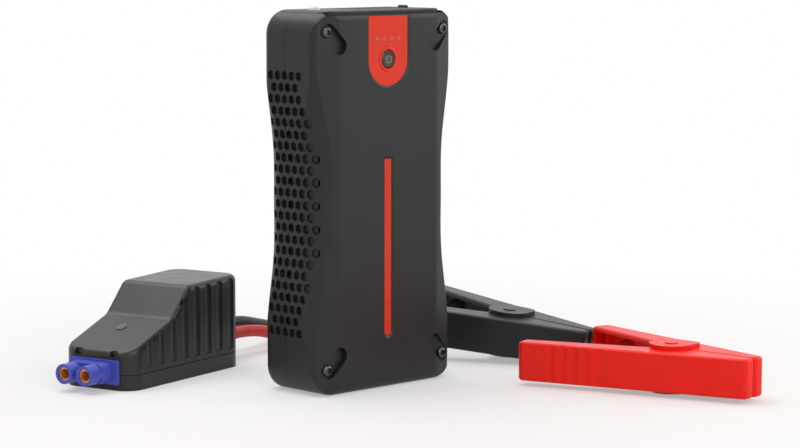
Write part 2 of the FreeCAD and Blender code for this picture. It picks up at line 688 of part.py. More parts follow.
def housing_screws():
    """Four screws that pull the front shell to the rear shell."""
    screw = screw_shape(size("screw_head"), size("screw_head_tall"), size("screw_shank"),
                        size("screw_long"))
    copies = []
    front = -size("pack_deep") / 2 + size("scoop_deep")
    for side in (-1, 1):
        for level in ("screw_low", "screw_high"):
            copy = screw.copy()
            copy.translate(Vector(side * size("screw_across"), front, size(level)))
            copies.append(copy)
    node(shape_of("housing_screw_set", Part.makeCompound(copies)), "housing_screws")


def cap_plate(low, high, grown):
    """An upright plate over the cap's outline, grown by a gap."""
    half_x = size("cap_wide") / 2 + grown
    half_y = size("cap_deep") / 2 + grown
    return prism(rectangle(half_x, half_y), [size("cap_corner") + grown] * 4, low, high)


def cap_seat(tag):
    """The room for the cap, open at the front so that the cap's edge shows above the front face."""
    low = size("pack_tall") - size("cap_tall")
    high = size("pack_tall") + 10
    half = size("cap_wide") / 2 + size("cap_gap")
    front = Part.makeBox(2 * half, size("pack_deep"), high - low, Vector(-half, -size("pack_deep"), low))
    return shape_of("cap_seat_" + tag, cap_plate(low, high, size("cap_gap")).fuse(front))


def pack_top():
    """Cap, port cover with its pull tab, torch lens and the sockets under the cover."""
    tall = size("pack_tall")
    low = tall - size("cap_tall")
    cap = shape_of("cap_blank", solid_of(cap_plate(low, tall + 5, 0.0).common(pack_form(0.0))))
    bay = block("cap_bay", ("-bay_left", "bay_right"), ("-bay_deep / 2", "bay_deep / 2"),
                ("pack_tall - cap_tall - 1", "pack_tall + 1"))
    lamp = rod("cap_torch_hole", "torch_wide / 2 + 0.15", "6", "-torch_across", "0", "pack_tall - 4")
    tab_room = block("tab_room", ("bay_right - 1", "bay_right + 2.6"),
                     ("-tab_wide / 2 - cover_gap", "tab_wide / 2 + cover_gap"),
                     ("pack_tall - cover_thick - cover_gap", "pack_tall + 1"))
    node(cut("cap_body", cap, [bay, lamp, tab_room]), "top_cap")
    lid = block("cover_lid", ("-bay_left + cover_gap", "bay_right - cover_gap"),
                ("-bay_deep / 2 + cover_gap", "bay_deep / 2 - cover_gap"),
                ("pack_tall - cover_thick", "pack_tall"))
    tab = block("cover_tab", ("bay_right - 1", "bay_right + 2.3"), ("-tab_wide / 2", "tab_wide / 2"),
                ("pack_tall - cover_thick", "pack_tall"))
    grip = rod("cover_grip", "tab_tall", "tab_wide", "bay_right + 0.8", "-tab_wide / 2", "pack_tall",
               ALONG_Y)
    node(fuse("port_cover_body", [lid, tab, grip]), "port_cover")
    lens = turned("torch_lens_body",
                  [("0", "0"), ("torch_wide / 2 + 0.7", "0"), ("torch_wide / 2 + 0.7", "1.2"),
                                      ("torch_wide / 2", "1.2"), ("torch_wide / 2",
                                                                  "cap_tall + top_wall + 0.3"),
                                      ("torch_wide / 2 - 0.6",
                                       "cap_tall + top_wall + torch_proud * 0.65 + 0.4"),
                                      ("torch_wide / 2 - 1.6", "cap_tall + top_wall + torch_proud + 0.2"),
                                      ("0", "cap_tall + top_wall + torch_proud + 0.4")])
    place(lens, "-torch_across", "0", "pack_tall - cap_tall - top_wall - 0.4")
    node(lens, "torch_lens")


def sockets():
    """Output socket with its pins, and the charge ports beside it."""
    top = size("pack_tall") - size("cap_tall")
    deep = size("socket_high")
    body = prism(rectangle(size("socket_wide") / 2, size("socket_deep") / 2), [3.0] * 4, top - deep, top)
    for side in (-1, 1):
        well = Part.makeCylinder(size("well_wide") / 2, deep - 2.5,
                                 Vector(side * size("pin_pitch") / 2, 0, top - deep + 2.5))
        body = body.cut(well)
        pin_hole = Part.makeCylinder(size("pin_wide") / 2 + 0.05, deep,
                                     Vector(side * size("pin_pitch") / 2, 0, top - deep - 1))
        body = body.cut(pin_hole)
    node(shape_of("output_socket_body", body, Placement(Vector(size("socket_across"), 0, 0), Rotation())),
         "output_socket")
    pins = []
    for side in (-1, 1):
        x = f"{side} * pin_pitch / 2 + socket_across"
        pins.append(rod(f"output_pin_{'left' if side < 0 else 'right'}", "pin_wide / 2",
                        "socket_high - 1 + 3", x, "0",
                        "pack_tall - cap_tall - socket_high - 3"))
    node(fuse("output_pin_set", pins), "output_pins")
    shell = block("port_shell_outer",
                  ("charge_across - charge_wide / 2", "charge_across + charge_wide / 2"),
                  ("-charge_long / 2", "charge_long / 2"), ("pack_tall - cap_tall - 14",
                                                            "pack_tall - cap_tall"))
    room = block("port_shell_inner",
                 ("charge_across - charge_wide / 2 + 0.5", "charge_across + charge_wide / 2 - 0.5"),
                 ("-charge_long / 2 + 0.5", "charge_long / 2 - 0.5"), ("pack_tall - cap_tall - 12",
                                                                       "pack_tall"))
    node(cut("charge_port_body", shell, [room]), "charge_port_shell")
    tongue_piece = block("charge_port_tongue_body", ("charge_across - 0.8", "charge_across + 1.0"),
                         ("-5.4", "5.4"),
                         ("pack_tall - cap_tall - 12", "pack_tall - cap_tall - 3"))
    node(tongue_piece, "charge_port_tongue")


def inside():
    """Cells in their tray, the boards and what sits on them."""
    stack = "cell_count * cell_thick"
    gap = "0.3"
    tray_outer = block("tray_outer",
                       (f"-cell_wide / 2 - {gap} - tray_wall", f"cell_wide / 2 + {gap} + tray_wall"),
                       (f"-({stack}) / 2 - {gap} - tray_wall", f"({stack}) / 2 + {gap} + tray_wall"),
                       ("cell_low - 2 - tray_wall + 0.3", "cell_low + 34"))
    tray_inner = block("tray_inner", (f"-cell_wide / 2 - {gap}", f"cell_wide / 2 + {gap}"),
                       (f"-({stack}) / 2 - {gap}", f"({stack}) / 2 + {gap}"), ("cell_low - 0.2",
                                                                               "cell_low + 40"))
    node(cut("cell_tray_body", tray_outer, [tray_inner]), "cell_tray")
    for at in range(int(size("cell_count"))):
        body, pad = plate(f"cell_{at + 1}", "XZ_Plane", "cell_wide", "cell_tall", "cell_thick - 0.3")
        soften(body, pad, f"cell_{at + 1}_round", "2.5",
               lambda e: e.BoundBox.YLength > size("cell_thick") - 1 and e.BoundBox.ZLength < 0.1)
        place(body, "0", f"-({stack}) / 2 + cell_thick * {at + 1} - 0.15", "cell_low + cell_tall / 2")
        node(body, f"battery_cell_{at + 1}")
    board, pad = plate("main_board_body", "XZ_Plane", "main_board_wide", "main_board_tall", "board_thick")
    place(board, "0", "board_back", "main_board_low + main_board_tall / 2")
    node(board, "main_board")
    parts = [block("board_choke", ("-26", "-14"), ("6.05", "13"),
                   ("main_board_low + 6", "main_board_low + 18")),
             block("board_cap", ("-4", "6"), ("6.05", "15"), ("main_board_low + 5", "main_board_low + 22")),
             block("board_switch_left", ("12", "18"), ("6.05", "8.5"),
                   ("main_board_low + 6", "main_board_low + 14")),
             block("board_switch_right", ("20.5", "26.5"), ("6.05", "8.5"),
                   ("main_board_low + 6", "main_board_low + 14"))]
    node(fuse("board_part_set", parts), "board_components")
    button_board, pad = plate("button_board_body", "XZ_Plane", "21", "22", "board_thick")
    place(button_board, "0", "-pack_deep / 2 + 7.4 + board_thick", "button_high + 4.75")
    node(button_board, "button_board")
    switch = block("tact_switch_body", ("-3", "3"), ("-pack_deep / 2 + 5.7", "-pack_deep / 2 + 7.4"),
                   ("button_high - 3", "button_high + 3"))
    node(switch, "tact_switch")
    torch_board = block("torch_board_body", ("-torch_across - 5", "-torch_across + 6"), ("-6", "6"),
                        ("pack_tall - cap_tall - top_wall - 2.2", "pack_tall - cap_tall - top_wall - 0.6"))
    node(torch_board, "torch_board")


def box_place(u, v, z):
    """A point of the control box's frame in the pack's frame."""
    turn = math.radians(size("box_turn"))
    return Vector(size("box_x") + u * math.cos(turn) - v * math.sin(turn),
                  size("box_y") + u * math.sin(turn) + v * math.cos(turn), z)


def box_placement():
    return Placement(box_place(0, 0, 0), Rotation(Vector(0, 0, 1), size("box_turn")))


def box_form(inset):
    """The control box's form, drawn in by an inset."""
    long_end = size("box_long") - inset
    points = [(inset, inset), (inset, size("box_front") - inset),
              (size("deck_long") + inset * 0.5, size("deck_high") - inset),
              (size("slope_end") + inset * 0.5, size("slope_high") - inset), (long_end,
                                                                              size("box_tall") - inset),
              (long_end, inset)]
    wide = size("box_wide") - 2 * inset
    soft = [0, 0, 6.0, 5.0, 0, 0]
    wire = loop(points, soft, lambda x, z: Vector(x, inset, z))
    solid = Part.Face(wire).extrude(Vector(0, wide, 0))
    corner = size("box_corner") - inset
    upright = [e for e in solid.Edges if e.BoundBox.XLength < 1e-6 and e.BoundBox.YLength < 1e-6]
    solid = solid.makeFillet(corner, upright)
    if inset > 0:
        return solid
    top = [e for e in solid.Edges if on_upper_rim(e)]
    return solid.makeFillet(size("box_edge"), top)


def on_upper_rim(edge):
    """Whether an edge of the control box belongs to the rim between its upper faces and its sides."""
    box = edge.BoundBox
    if box.ZMin < size("box_front") - 1.0:
        return False
    crosswise = box.YLength > size("box_wide") * 0.6
    if crosswise:
        return box.XMax < 1.0 or box.XMin > size("box_long") - 1.0
    return True


def control_box():
    """Upper housing and lower cover of the control box, its lens, screws and what it holds."""
    here = box_placement()
    form = box_form(0.0)
    room = box_form(size("box_wall"))
    seam = size("box_seam")
    reach = size("box_long") + 10
    flutes = []
    for at in range(int(size("flute_count"))):
        u = size("flute_first") + at * size("flute_pitch")
        for side in (0, 1):
            v = side * size("box_wide")
            away = -1 if side == 0 else 1
            centre = v + away * (size("flute_round") - size("flute_deep"))
            flutes.append(Part.makeCylinder(size("flute_round"), 60, Vector(u, centre, seam + 2.5)))
    upper = form.common(Part.makeBox(reach, reach, 60, Vector(-5, -5, seam + 0.15)))
    upper = upper.cut(room).cut(Part.makeCompound(flutes))
    lower = form.common(Part.makeBox(reach, reach, seam - 0.15 + 5, Vector(-5, -5, -5))).cut(room)
    plug_gap = 0.15
    flange_half = 5.65
    mouth = Part.makeBox(14.0, 26.4 + 2 * plug_gap, 9.8 + 2 * plug_gap,
                         Vector(-1, size("plug_side") - 13.2 - plug_gap,
                                size("plug_high") - 4.9 - plug_gap))
    cuts = [mouth]
    for v, z in gland_spots():
        cuts.append(Part.makeCylinder(size("gland_wide") / 2 + 0.15, size("box_wall") + 4,
                                      Vector(size("box_long") - size("box_wall") - 2, v, z), Vector(1, 0,
                                                                                                    0)))
    middle = size("plug_side")
    for off in (-size("notch_across"), size("notch_across")):
        cuts.append(Part.makeBox(2.6, size("notch_wide"), 6.0,
                                 Vector(-1, middle + off - size("notch_wide") / 2,
                                        size("box_front") - 2.4)))
    for low in (-1.0, size("box_wide") - 1.4):
        cuts.append(Part.makeBox(size("catch_long"), 2.4, 20.0,
                                 Vector(size("catch_at"), low, size("catch_high"))))
    lens_at, lens_axis = deck_spot(size("lamp_along"), size("lamp_across"))
    cuts.append(Part.makeCylinder(size("lamp_wide") / 2 + 0.1, 8, lens_at - lens_axis * 5, lens_axis))
    posts = []
    for u, v in box_screw_spots():
        post = Part.makeCylinder(3.0, 20, Vector(u, v, seam + 0.15))
        post = post.common(form)
        posts.append(post)
    upper = upper.fuse(posts)
    for u, v in box_screw_spots():
        cuts.append(Part.makeCylinder(1.15, 14, Vector(u, v, -2)))
        lower = lower.fuse(Part.makeCylinder(3.0, seam - 0.15, Vector(u, v, 0)))
        cuts.append(Part.makeCylinder(2.3, 2.2, Vector(u, v, -0.6)))
    upper = solid_of(upper.cut(cuts))
    lower = solid_of(lower.cut(cuts))
    node(shape_of("box_upper_body", upper, here), "box_upper_housing")
    node(shape_of("box_lower_body", lower, here), "box_lower_cover")
    screws = []
    for u, v in box_screw_spots():
        screw = screw_shape(4.2, 1.4, 2.1, 9.0)
        screw.rotate(Vector(0, 0, 0), Vector(1, 0, 0), 90)
        screw.translate(Vector(u, v, 1.6))
        screws.append(screw)
    node(shape_of("box_screw_set", Part.makeCompound(screws), here), "box_screws")
    lens = Part.makeCylinder(size("lamp_wide") / 2, 3.2, lens_at - lens_axis * 2.9, lens_axis)
    node(shape_of("box_lens_body", lens, here), "box_indicator_lens")
    board_wide = size("box_wide") - 2 * size("box_wall") - 0.6
    board = Part.makeBox(47.5, board_wide, 1.6, Vector(14, (size("box_wide") - board_wide) / 2, seam + 7.6))
    node(shape_of("box_board_body", board, here), "box_board")
    relay = Part.makeBox(16, 17, 17, Vector(44, size("box_wide") / 2 - 8.5, seam + 9.25))
    node(shape_of("box_relay_body", relay, here), "box_relay")


def solid_of(shape):
    """The largest solid of a result."""
    return max(shape.Solids, key=lambda s: s.Volume)


def deck_spot(u, v):
    """A point on the control box's deck and the deck's outward direction."""
    rise = (size("deck_high") - size("box_front")) / size("deck_long")
    axis = Vector(-rise, 0, 1).normalize()
    return Vector(u, v, size("box_front") + u * rise), axis


def box_screw_spots():
    inset = 6.2
    return [(u, v) for u in (inset, size("box_long") - inset) for v in (inset, size("box_wide") - inset)]


def gland_spots():
    """Where the red and the black lead leave the control box: across and up."""
    return [(15.0, 12.8), (25.5, 16.2)]


def plug():
    """The blue plug: flange, joined neck and two barrels, each with a metal socket."""
    here = box_placement()
    high = size("plug_high")
    middle = size("plug_side")
    half_pitch = size("pin_pitch") / 2
    reach = size("plug_reach")
    flange = Part.makeBox(size("flange_thick"), 28.0, 11.3,
                          Vector(-size("flange_thick"), middle - 14.0, high - 5.65))
    inner = Part.makeBox(8.0, 26.4, 9.8, Vector(0, middle - 13.2, high - 4.9))
    neck_corners = rectangle(half_pitch + 4.75, 4.75)
    neck = Part.Face(loop(neck_corners, [3.0] * 4, lambda y, z: Vector(-9.0, middle + y, high + z)))
    neck = neck.extrude(Vector(9.0, 0, 0))
    body = flange.fuse([inner, neck])
    contacts = []
    for side in (-1, 1):
        v = middle + side * half_pitch
        body = body.fuse(Part.makeCylinder(size("barrel_wide") / 2, reach, Vector(-reach, v, high),
                                           Vector(1, 0, 0)))
        body = body.cut(Part.makeCylinder(size("contact_wide") / 2 + 0.05, reach + 13,
                                          Vector(-reach - 1, v, high), Vector(1, 0, 0)))
        tube = Part.makeCylinder(size("contact_wide") / 2, reach + 9.0, Vector(-reach + 1.0, v, high),
                                 Vector(1, 0, 0))
        tube = tube.cut(Part.makeCylinder(size("contact_bore") / 2, 16.0, Vector(-reach, v, high),
                                          Vector(1, 0, 0)))
        contacts.append(tube)
    node(shape_of("plug_body_shape", body.removeSplitter(), here), "plug_body")
    node(shape_of("plug_contact_set", Part.makeCompound(contacts), here), "plug_contacts")


def glands():
    """Strain reliefs where the leads leave the control box."""
    here = box_placement()
    for (v, z), tone in zip(gland_spots(), ("red", "black")):
        wide = size("gland_wide") / 2
        lead = size("lead_wide") / 2
        start = size("box_long") - size("box_wall") - 3.0
        end = size("box_long") + size("gland_long")
        profile = [(start, 0), (start, wide + 0.9), (start + 2.5, wide + 0.9), (start + 2.5, wide),
                   (size("box_long") + 2, wide), (end, lead + 0.7), (end, 0)]
        spots = [Vector(x, v, z + out) for x, out in profile]
        solid = Part.Face(Part.makePolygon(spots + [spots[0]]))
        solid = solid.revolve(Vector(0, v, z), Vector(1, 0, 0), 360)
        node(shape_of(f"{tone}_gland_body", solid, here), f"{tone}_gland")


def clamp_frame(tone):
    """Where a clamp's pivot stands and how it is turned; its own x axis runs to the jaw tips."""
    heading = Rotation(Vector(0, 0, 1), size(tone + "_turn"))
    half = size("clamp_tall") / 2
    if tone == "red":
        height = half + size("ear_thick") + size("pin_head_tall")
        return Placement(Vector(size("red_x"), size("red_y"), height), heading)
    pitch = Rotation(Vector(0, 1, 0), size("black_pitch"))
    slope = math.radians(size("black_pitch"))
    height = size("tip_ahead") * math.sin(slope) + half * math.cos(slope) + 0.02
    return Placement(Vector(size("black_x"), size("black_y"), height), heading.multiply(pitch))


def half_corners():
    """The far half's outline in plan, from the tip's inner corner round."""
    angle = math.radians(size("clamp_angle"))
    ahead = size("tip_ahead")
    end = Vector(ahead - size("clamp_long") * math.cos(angle),
                 size("tip_half") + size("clamp_long") * math.sin(angle), 0)
    inward = Vector(-math.sin(angle), -math.cos(angle), 0)
    inner_end = end + inward * size("handle_thick")
    gap = size("jaw_gap") / 2
    return [(ahead, gap), (ahead, size("tip_half")), (end.x, end.y), (inner_end.x, inner_end.y),
            (-15.0, 8.6), (5.0, gap)]


def half_shape(ears):
    """One clamp half: an open channel with a solid jaw, and either outer ears or inner lugs."""
    half = size("clamp_tall") / 2
    wall = size("clamp_wall")
    corners = half_corners()
    body = prism(corners, [size("tip_round"), 2.6, 3.0, 2.0, 6.0, 2.0], -half, half)
    rims = [e for e in body.Edges if e.BoundBox.ZLength < 1e-6 and e.BoundBox.YMax > size("clamp_rim")]
    body = body.makeFillet(size("clamp_round"), rims)
    angle = math.radians(size("clamp_angle"))
    along = Vector(-math.cos(angle), math.sin(angle), 0)
    inward = Vector(-math.sin(angle), -math.cos(angle), 0)
    tip = Vector(*corners[1], 0)
    end = Vector(*corners[2], 0)
    root = tip + along * 38.0 + inward * wall
    last = end - along * wall + inward * wall
    deep = inward * 30.0
    outward = inward * -1
    grips = []
    for at in range(int(size("grip_count")) + 1):
        wide = at == int(size("grip_count"))
        bend = size("grip_round") * (size("grip_grow") if wide else 1.0)
        spot = end - along * (size("grip_first") + at * size("grip_pitch") + (2.0 if wide else 0.0))
        centre = spot + outward * (bend - size("grip_deep"))
        grips.append(Part.makeCylinder(bend, 2 * half + 2, Vector(centre.x, centre.y, -half - 1)))
    body = body.cut(grips)
    room = prism([(root.x, root.y), (last.x, last.y), (last.x + deep.x, last.y + deep.y),
                  (root.x + deep.x, root.y + deep.y)], [1.5, 1.5, 0, 0], -half + wall, half - wall)
    body = body.cut(room)
    seat = Part.makeBox(29.5, size("plate_thick") + 0.1, size("clamp_tall") - 4.0,
                        Vector(14.5, -0.1, -half + 2.0))
    body = body.cut(seat)
    coil_room = size("coil_round") + size("wire_wide") / 2 + 0.6
    body = body.cut(Part.makeCylinder(coil_room, size("clamp_tall") - 2 * wall, Vector(0, 0, -half + wall)))
    pin = size("pivot_wide") / 2 + size("pivot_play")
    if ears:
        body = body.cut(Part.makeCylinder(size("lug_round") + 0.5, size("clamp_tall") + 2,
                                          Vector(0, 0, -half - 1)))
        for low in (-half - size("ear_thick"), half):
            disc = Part.makeCylinder(size("ear_round"), size("ear_thick"), Vector(0, 0, low))
            reach = size("ear_round")
            tail = prism([(-reach, 0), (reach, 0), (reach, size("ear_tail")), (-reach, size("ear_tail"))],
                         [0, 0, size("ear_corner"), size("ear_corner")], low, low + size("ear_thick"))
            body = body.fuse(disc.common(Part.makeBox(40, 20, 9, Vector(-20, -20, low - 1))).fuse(tail))
    else:
        for low in (-half, half - wall):
            disc = Part.makeCylinder(size("lug_round"), wall, Vector(0, 0, low))
            body = body.fuse(disc)
    body = body.cut(Part.makeCylinder(pin, size("clamp_tall") + 10, Vector(0, 0, -half - 5)))
    return solid_of(body.removeSplitter())


def jaw_plate():
    """A toothed metal plate in the jaw of the far half."""
    half = size("clamp_tall") / 2 - 2.1
    gap = size("jaw_gap") / 2
    start = 14.6
    pitch = 2.4
    count = 12
    points = [(start, size("plate_thick") - 0.05)]
    points.append((start, gap + 0.35))
    for at in range(count):
        points.append((start + 0.4 + at * pitch, gap + 0.35))
        points.append((start + 0.4 + (at + 0.5) * pitch, gap))
    points.append((start + 0.4 + count * pitch, gap + 0.35))
    points.append((start + 0.4 + count * pitch, size("plate_thick") - 0.05))
    wire = Part.makePolygon([Vector(x, y, -half) for x, y in points + [points[0]]])
    return Part.Face(wire).extrude(Vector(0, 0, 2 * half))


def pivot_pin():
    """The pin through the ears, with a low head at each end."""
    half = size("clamp_tall") / 2 + size("ear_thick")
    stem = Part.makeCylinder(size("pivot_wide") / 2, 2 * half + 0.6, Vector(0, 0, -half - 0.3))
    for low in (-half - 0.4, half + 0.0):
        head = Part.makeCylinder(size("pivot_wide") / 2 + 1.2, size("pin_head_tall"), Vector(0, 0, low))
        stem = stem.fuse(head)
    return stem.removeSplitter()


def spring_path():
    """The torsion spring's centre line: a leg, a helix and the other leg, each run tangent to the next."""
    radius = size("coil_round")
    rise = size("coil_pitch")
    leg = size("spring_leg")
    slant = math.radians(size("leg_angle"))
    start_angle = math.pi / 2 - slant
    sweep = 2 * math.pi * size("coil_turns") + 2 * start_angle
    tall = rise * sweep / (2 * math.pi)
    coil = Part.makeHelix(rise, tall, radius, 0, True)
    coil.rotate(Vector(0, 0, 0), Vector(0, 0, 1), math.degrees(start_angle))
    coil.translate(Vector(0, 0, -tall / 2))
    climb = rise / (2 * math.pi * radius)
    first, last = (Vector(radius * math.cos(start_angle), side * radius * math.sin(start_angle),
                          side_z * tall / 2)
                   for side, side_z in ((1, -1), (-1, 1)))
    first_way = Vector(-math.cos(slant), math.sin(slant), -climb).normalize()
    last_way = Vector(-math.cos(slant), -math.sin(slant), climb).normalize()
    edges = [Part.makeLine(first + first_way * leg, first)] + coil.Edges + [Part.makeLine(last,
            last + last_way * leg)]
    return Part.Wire(Part.__sortEdges__(edges))


def spring_shape():
    """The wire of the torsion spring as one unbroken tube."""
    path = spring_path()
    start = path.OrderedVertexes[0].Point
    way = (path.OrderedVertexes[1].Point - start).normalize()
    side = way.cross(Vector(0, 0, 1)).normalize()
    up = side.cross(way)
    spots = []
    for at in range(int(size("wire_sides"))):
        turn = 2 * math.pi * at / size("wire_sides")
        spots.append(start + (side * math.cos(turn) + up * math.sin(turn)) * (size("wire_wide") / 2))
    tube = path.makePipeShell([Part.makePolygon(spots + [spots[0]])], True, False)
    print("spring volume over section times length:",
          round(tube.Volume / (path.Length * math.pi * size("wire_wide") ** 2 / 4), 4))
    print("spring's least gap to itself:", round(size("coil_pitch") - size("wire_wide"), 2))
    return tube


def clamp(tone):
    """One clamp: two halves, jaw plates, pivot pin, spring and the lead's boot."""
    where = clamp_frame(tone)
    far = half_shape(True)
    near = half_shape(False).mirror(Vector(0, 0, 0), Vector(0, 1, 0))
    hole_at, hole_way = boot_spot()
    whole = far.copy()
    reach = size("boot_long")
    far = far.cut(Part.makeCylinder(size("lead_wide") / 2 + 0.15, 2 * reach, hole_at - hole_way * reach,
                                    hole_way))
    node(shape_of(f"{tone}_far_half_body", far, where), f"{tone}_clamp_far_half")
    node(shape_of(f"{tone}_near_half_body", near, where), f"{tone}_clamp_near_half")
    plate_far = jaw_plate()
    plate_near = jaw_plate().mirror(Vector(0, 0, 0), Vector(0, 1, 0))
    node(shape_of(f"{tone}_far_plate_body", plate_far, where), f"{tone}_clamp_far_plate")
    node(shape_of(f"{tone}_near_plate_body", plate_near, where), f"{tone}_clamp_near_plate")
    node(shape_of(f"{tone}_pivot_body", pivot_pin(), where), f"{tone}_clamp_pivot")
    node(shape_of(f"{tone}_spring_body", spring_shape(), where), f"{tone}_clamp_spring")
    sleeve = Part.makeCylinder(size("lead_wide") / 2 + size("boot_wall"), 2 * reach,
                               hole_at - hole_way * reach, hole_way)
    rod_in = Part.makeCylinder(size("lead_wide") / 2, 2 * reach - 0.5, hole_at - hole_way * (reach - 0.2),
                               hole_way)
    boot = sleeve.cut(whole).fuse(rod_in)
    node(shape_of(f"{tone}_boot_body", boot.removeSplitter(), where), f"{tone}_lead_boot")
    start = where.multVec(hole_at - hole_way * reach)
    way = where.Rotation.multVec(hole_way * -1)
    return start, way


def boot_spot():
    """Where the lead goes through the far handle's outer face, and the way it goes in."""
    angle = math.radians(size("clamp_angle"))
    lean = angle + math.radians(size("boot_lean"))
    end = half_corners()[2]
    along = Vector(math.cos(angle), -math.sin(angle), 0)
    return Vector(end[0], end[1], 0) + along * size("boot_back"), Vector(math.cos(lean), -math.sin(lean), 0)


def lead_route(points):
    """Straight runs joined by tangent arcs; prints the tightest radius."""
    spots = [Vector(*p) for p in points]
    edges = []
    radii = []
    here = spots[0]
    for at in range(1, len(spots) - 1):
        corner = spots[at]
        back = spots[at - 1] - corner
        onward = spots[at + 1] - corner
        turn = math.pi - back.getAngle(onward)
        reach = 0.45 * min(back.Length, onward.Length)
        radii.append(reach / math.tan(turn / 2))
        back.normalize()
        onward.normalize()
        start = corner + back * reach
        end = corner + onward * reach
        bisector = (back + onward).normalize()
        middle = corner + bisector * (radii[-1] / math.cos(turn / 2) - radii[-1])
        edges.append(Part.makeLine(here, start))
        edges.append(Part.Arc(start, middle, end).toShape())
        here = end
    edges.append(Part.makeLine(here, spots[-1]))
    return Part.Wire(edges), radii


def lead(tone, points):
    """A lead's tube from its gland to its clamp."""
    path, radii = lead_route(points)
    start = Vector(*points[0])
    way = (Vector(*points[1]) - start).normalize()
    ring = Part.Wire([Part.makeCircle(size("lead_wide") / 2, start, way)])
    tube = path.makePipeShell([ring], True, False)
    share = tube.Volume / (path.Length * math.pi * size("lead_wide") ** 2 / 4)
    print(f"{tone} lead: length {path.Length:.1f}, radii", [round(r) for r in radii], "volume share",
          round(share, 4))
    node(shape_of(f"{tone}_lead_body", tube), f"{tone}_lead")


def leads(red_end, black_end):
    """Both leads, from the glands behind the pack to the clamps' far handles."""
    ends = {"red": red_end, "black": black_end}
    middles = {
        "red": [(38.0, 102.5, 7.0), (67.0, 105.0, 3.3), (98.0, 100.0, 3.3), (126.0, 86.0, 3.3),
                (146.0, 62.0, 3.3), (155.0, 34.0, 3.3), (154.0, 4.0, 3.3), (147.0, -24.0, 6.0)],
        "black": [(33.0, 113.5, 12.0), (57.0, 124.0, 6.0), (82.0, 133.0, 3.3), (108.0, 133.0, 3.3),
                  (129.0, 118.0, 8.0), (137.5, 95.0, 15.5)],
    }
    for (v, z), tone in zip(gland_spots(), ("red", "black")):
        start = box_place(size("box_long") + size("gland_long"), v, z)
        turn = math.radians(size("box_turn"))
        out = Vector(math.cos(turn), math.sin(turn), 0)
        end, way = ends[tone]
        first = start + out * size("lead_straight")
        last = end + way * size("lead_straight")
        route = [tuple(start), tuple(first)] + middles[tone] + [tuple(last), tuple(end)]
        print(tone, "route", [tuple(round(c, 1) for c in p) for p in route])
        lead(tone, route)


def check_and_export():
    """Stop on any failed object or sub-part, then write one file for each node."""
    doc.recompute()
    for piece in doc.Objects:
        bad = [state for state in piece.State if state in ("Invalid", "Error")]
        if bad:
            raise RuntimeError(f"{piece.Label} has state {bad}")
    for piece in NODES:
        if piece.Shape.isNull() or not piece.Shape.isValid() or not piece.Shape.Solids:
            raise RuntimeError(f"{piece.Label} has no valid solid")
    os.makedirs("parts", exist_ok=True)
    for piece in NODES:
        piece.Shape.exportStep(f"parts/{piece.Label}.step")
    print(len(NODES), "nodes written")


fill_sheet()
pack_shells()
front_trim()
housing_screws()
pack_top()
sockets()
inside()
control_box()
plug()
glands()
leads(clamp("red"), clamp("black"))
check_and_export()
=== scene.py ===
"""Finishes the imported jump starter: dimpled grips, screws, leads, springs, materials and a pale stage."""

import math

import bmesh
import bpy
from mathutils import Matrix, Vector
from mathutils.bvhtree import BVHTree
from mathutils.geometry import barycentric_transform


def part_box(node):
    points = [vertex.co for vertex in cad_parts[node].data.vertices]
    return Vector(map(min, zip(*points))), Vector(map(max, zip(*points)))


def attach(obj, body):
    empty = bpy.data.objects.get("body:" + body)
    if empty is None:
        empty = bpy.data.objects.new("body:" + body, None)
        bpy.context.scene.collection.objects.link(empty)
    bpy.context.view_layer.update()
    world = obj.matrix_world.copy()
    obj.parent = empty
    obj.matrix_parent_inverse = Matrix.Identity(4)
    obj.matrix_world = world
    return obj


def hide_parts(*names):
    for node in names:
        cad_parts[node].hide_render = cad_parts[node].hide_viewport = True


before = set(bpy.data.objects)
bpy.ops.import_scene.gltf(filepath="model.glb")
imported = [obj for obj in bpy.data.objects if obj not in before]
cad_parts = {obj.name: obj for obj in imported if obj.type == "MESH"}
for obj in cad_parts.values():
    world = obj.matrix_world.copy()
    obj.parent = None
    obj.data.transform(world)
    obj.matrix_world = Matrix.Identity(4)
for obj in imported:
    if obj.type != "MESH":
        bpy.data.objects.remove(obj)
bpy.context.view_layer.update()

bl_info = {
    "name": "Jump starter pack",
    "version": (1, 0, 0),
    "blender": (4, 5, 0),
    "location": "3D View > Sidebar > Jump starter",
    "description": "Dresses a packed jump starter, its control box, leads and clamps",
    "category": "Object",
}

MM = 0.001
WHITE = (1.0, 1.0, 1.0, 1.0)

# The middle lines of the leads, from their glands to the clamps, and the lengths of the leads, in metres.
RED_ROUTE = [
    (-0.0009, 0.0933, 0.0128), (0.0166, 0.0977, 0.0128), (0.0380, 0.1025, 0.0070), (0.0670, 0.1050, 0.0033),
    (0.0980, 0.1000, 0.0033), (0.1260, 0.0860, 0.0033), (0.1460, 0.0620, 0.0033), (0.1550, 0.0340, 0.0033),
    (0.1540, 0.0040, 0.0033), (0.1470, -0.0240, 0.0060), (0.1344, -0.0499, 0.0117), (0.1216, -0.0626, 0.0117),
]
BLACK_ROUTE = [
    (-0.0034, 0.1035, 0.0162), (0.0141, 0.1079, 0.0162), (0.0330, 0.1135, 0.0120), (0.0570, 0.1240, 0.0060),
    (0.0820, 0.1330, 0.0033), (0.1080, 0.1330, 0.0033), (0.1290, 0.1180, 0.0080), (0.1375, 0.0950, 0.0155),
    (0.1337, 0.0720, 0.0206), (0.1232, 0.0575, 0.0194),
]
RED_LONG = 0.298
BLACK_LONG = 0.209

# Each clamp's pivot in millimetres, the heading of its jaws and how far its handles are raised, in degrees.
CLAMP_FRAMES = {"red": ((88.6, -118.0, 11.7), -85.3, 0.0), "black": ((99.6, -2.3, 14.03), -75.9, 5.9)}
# How far a spring's coil turns from one of its points to the next.
COIL_STEP = math.radians(8.0)
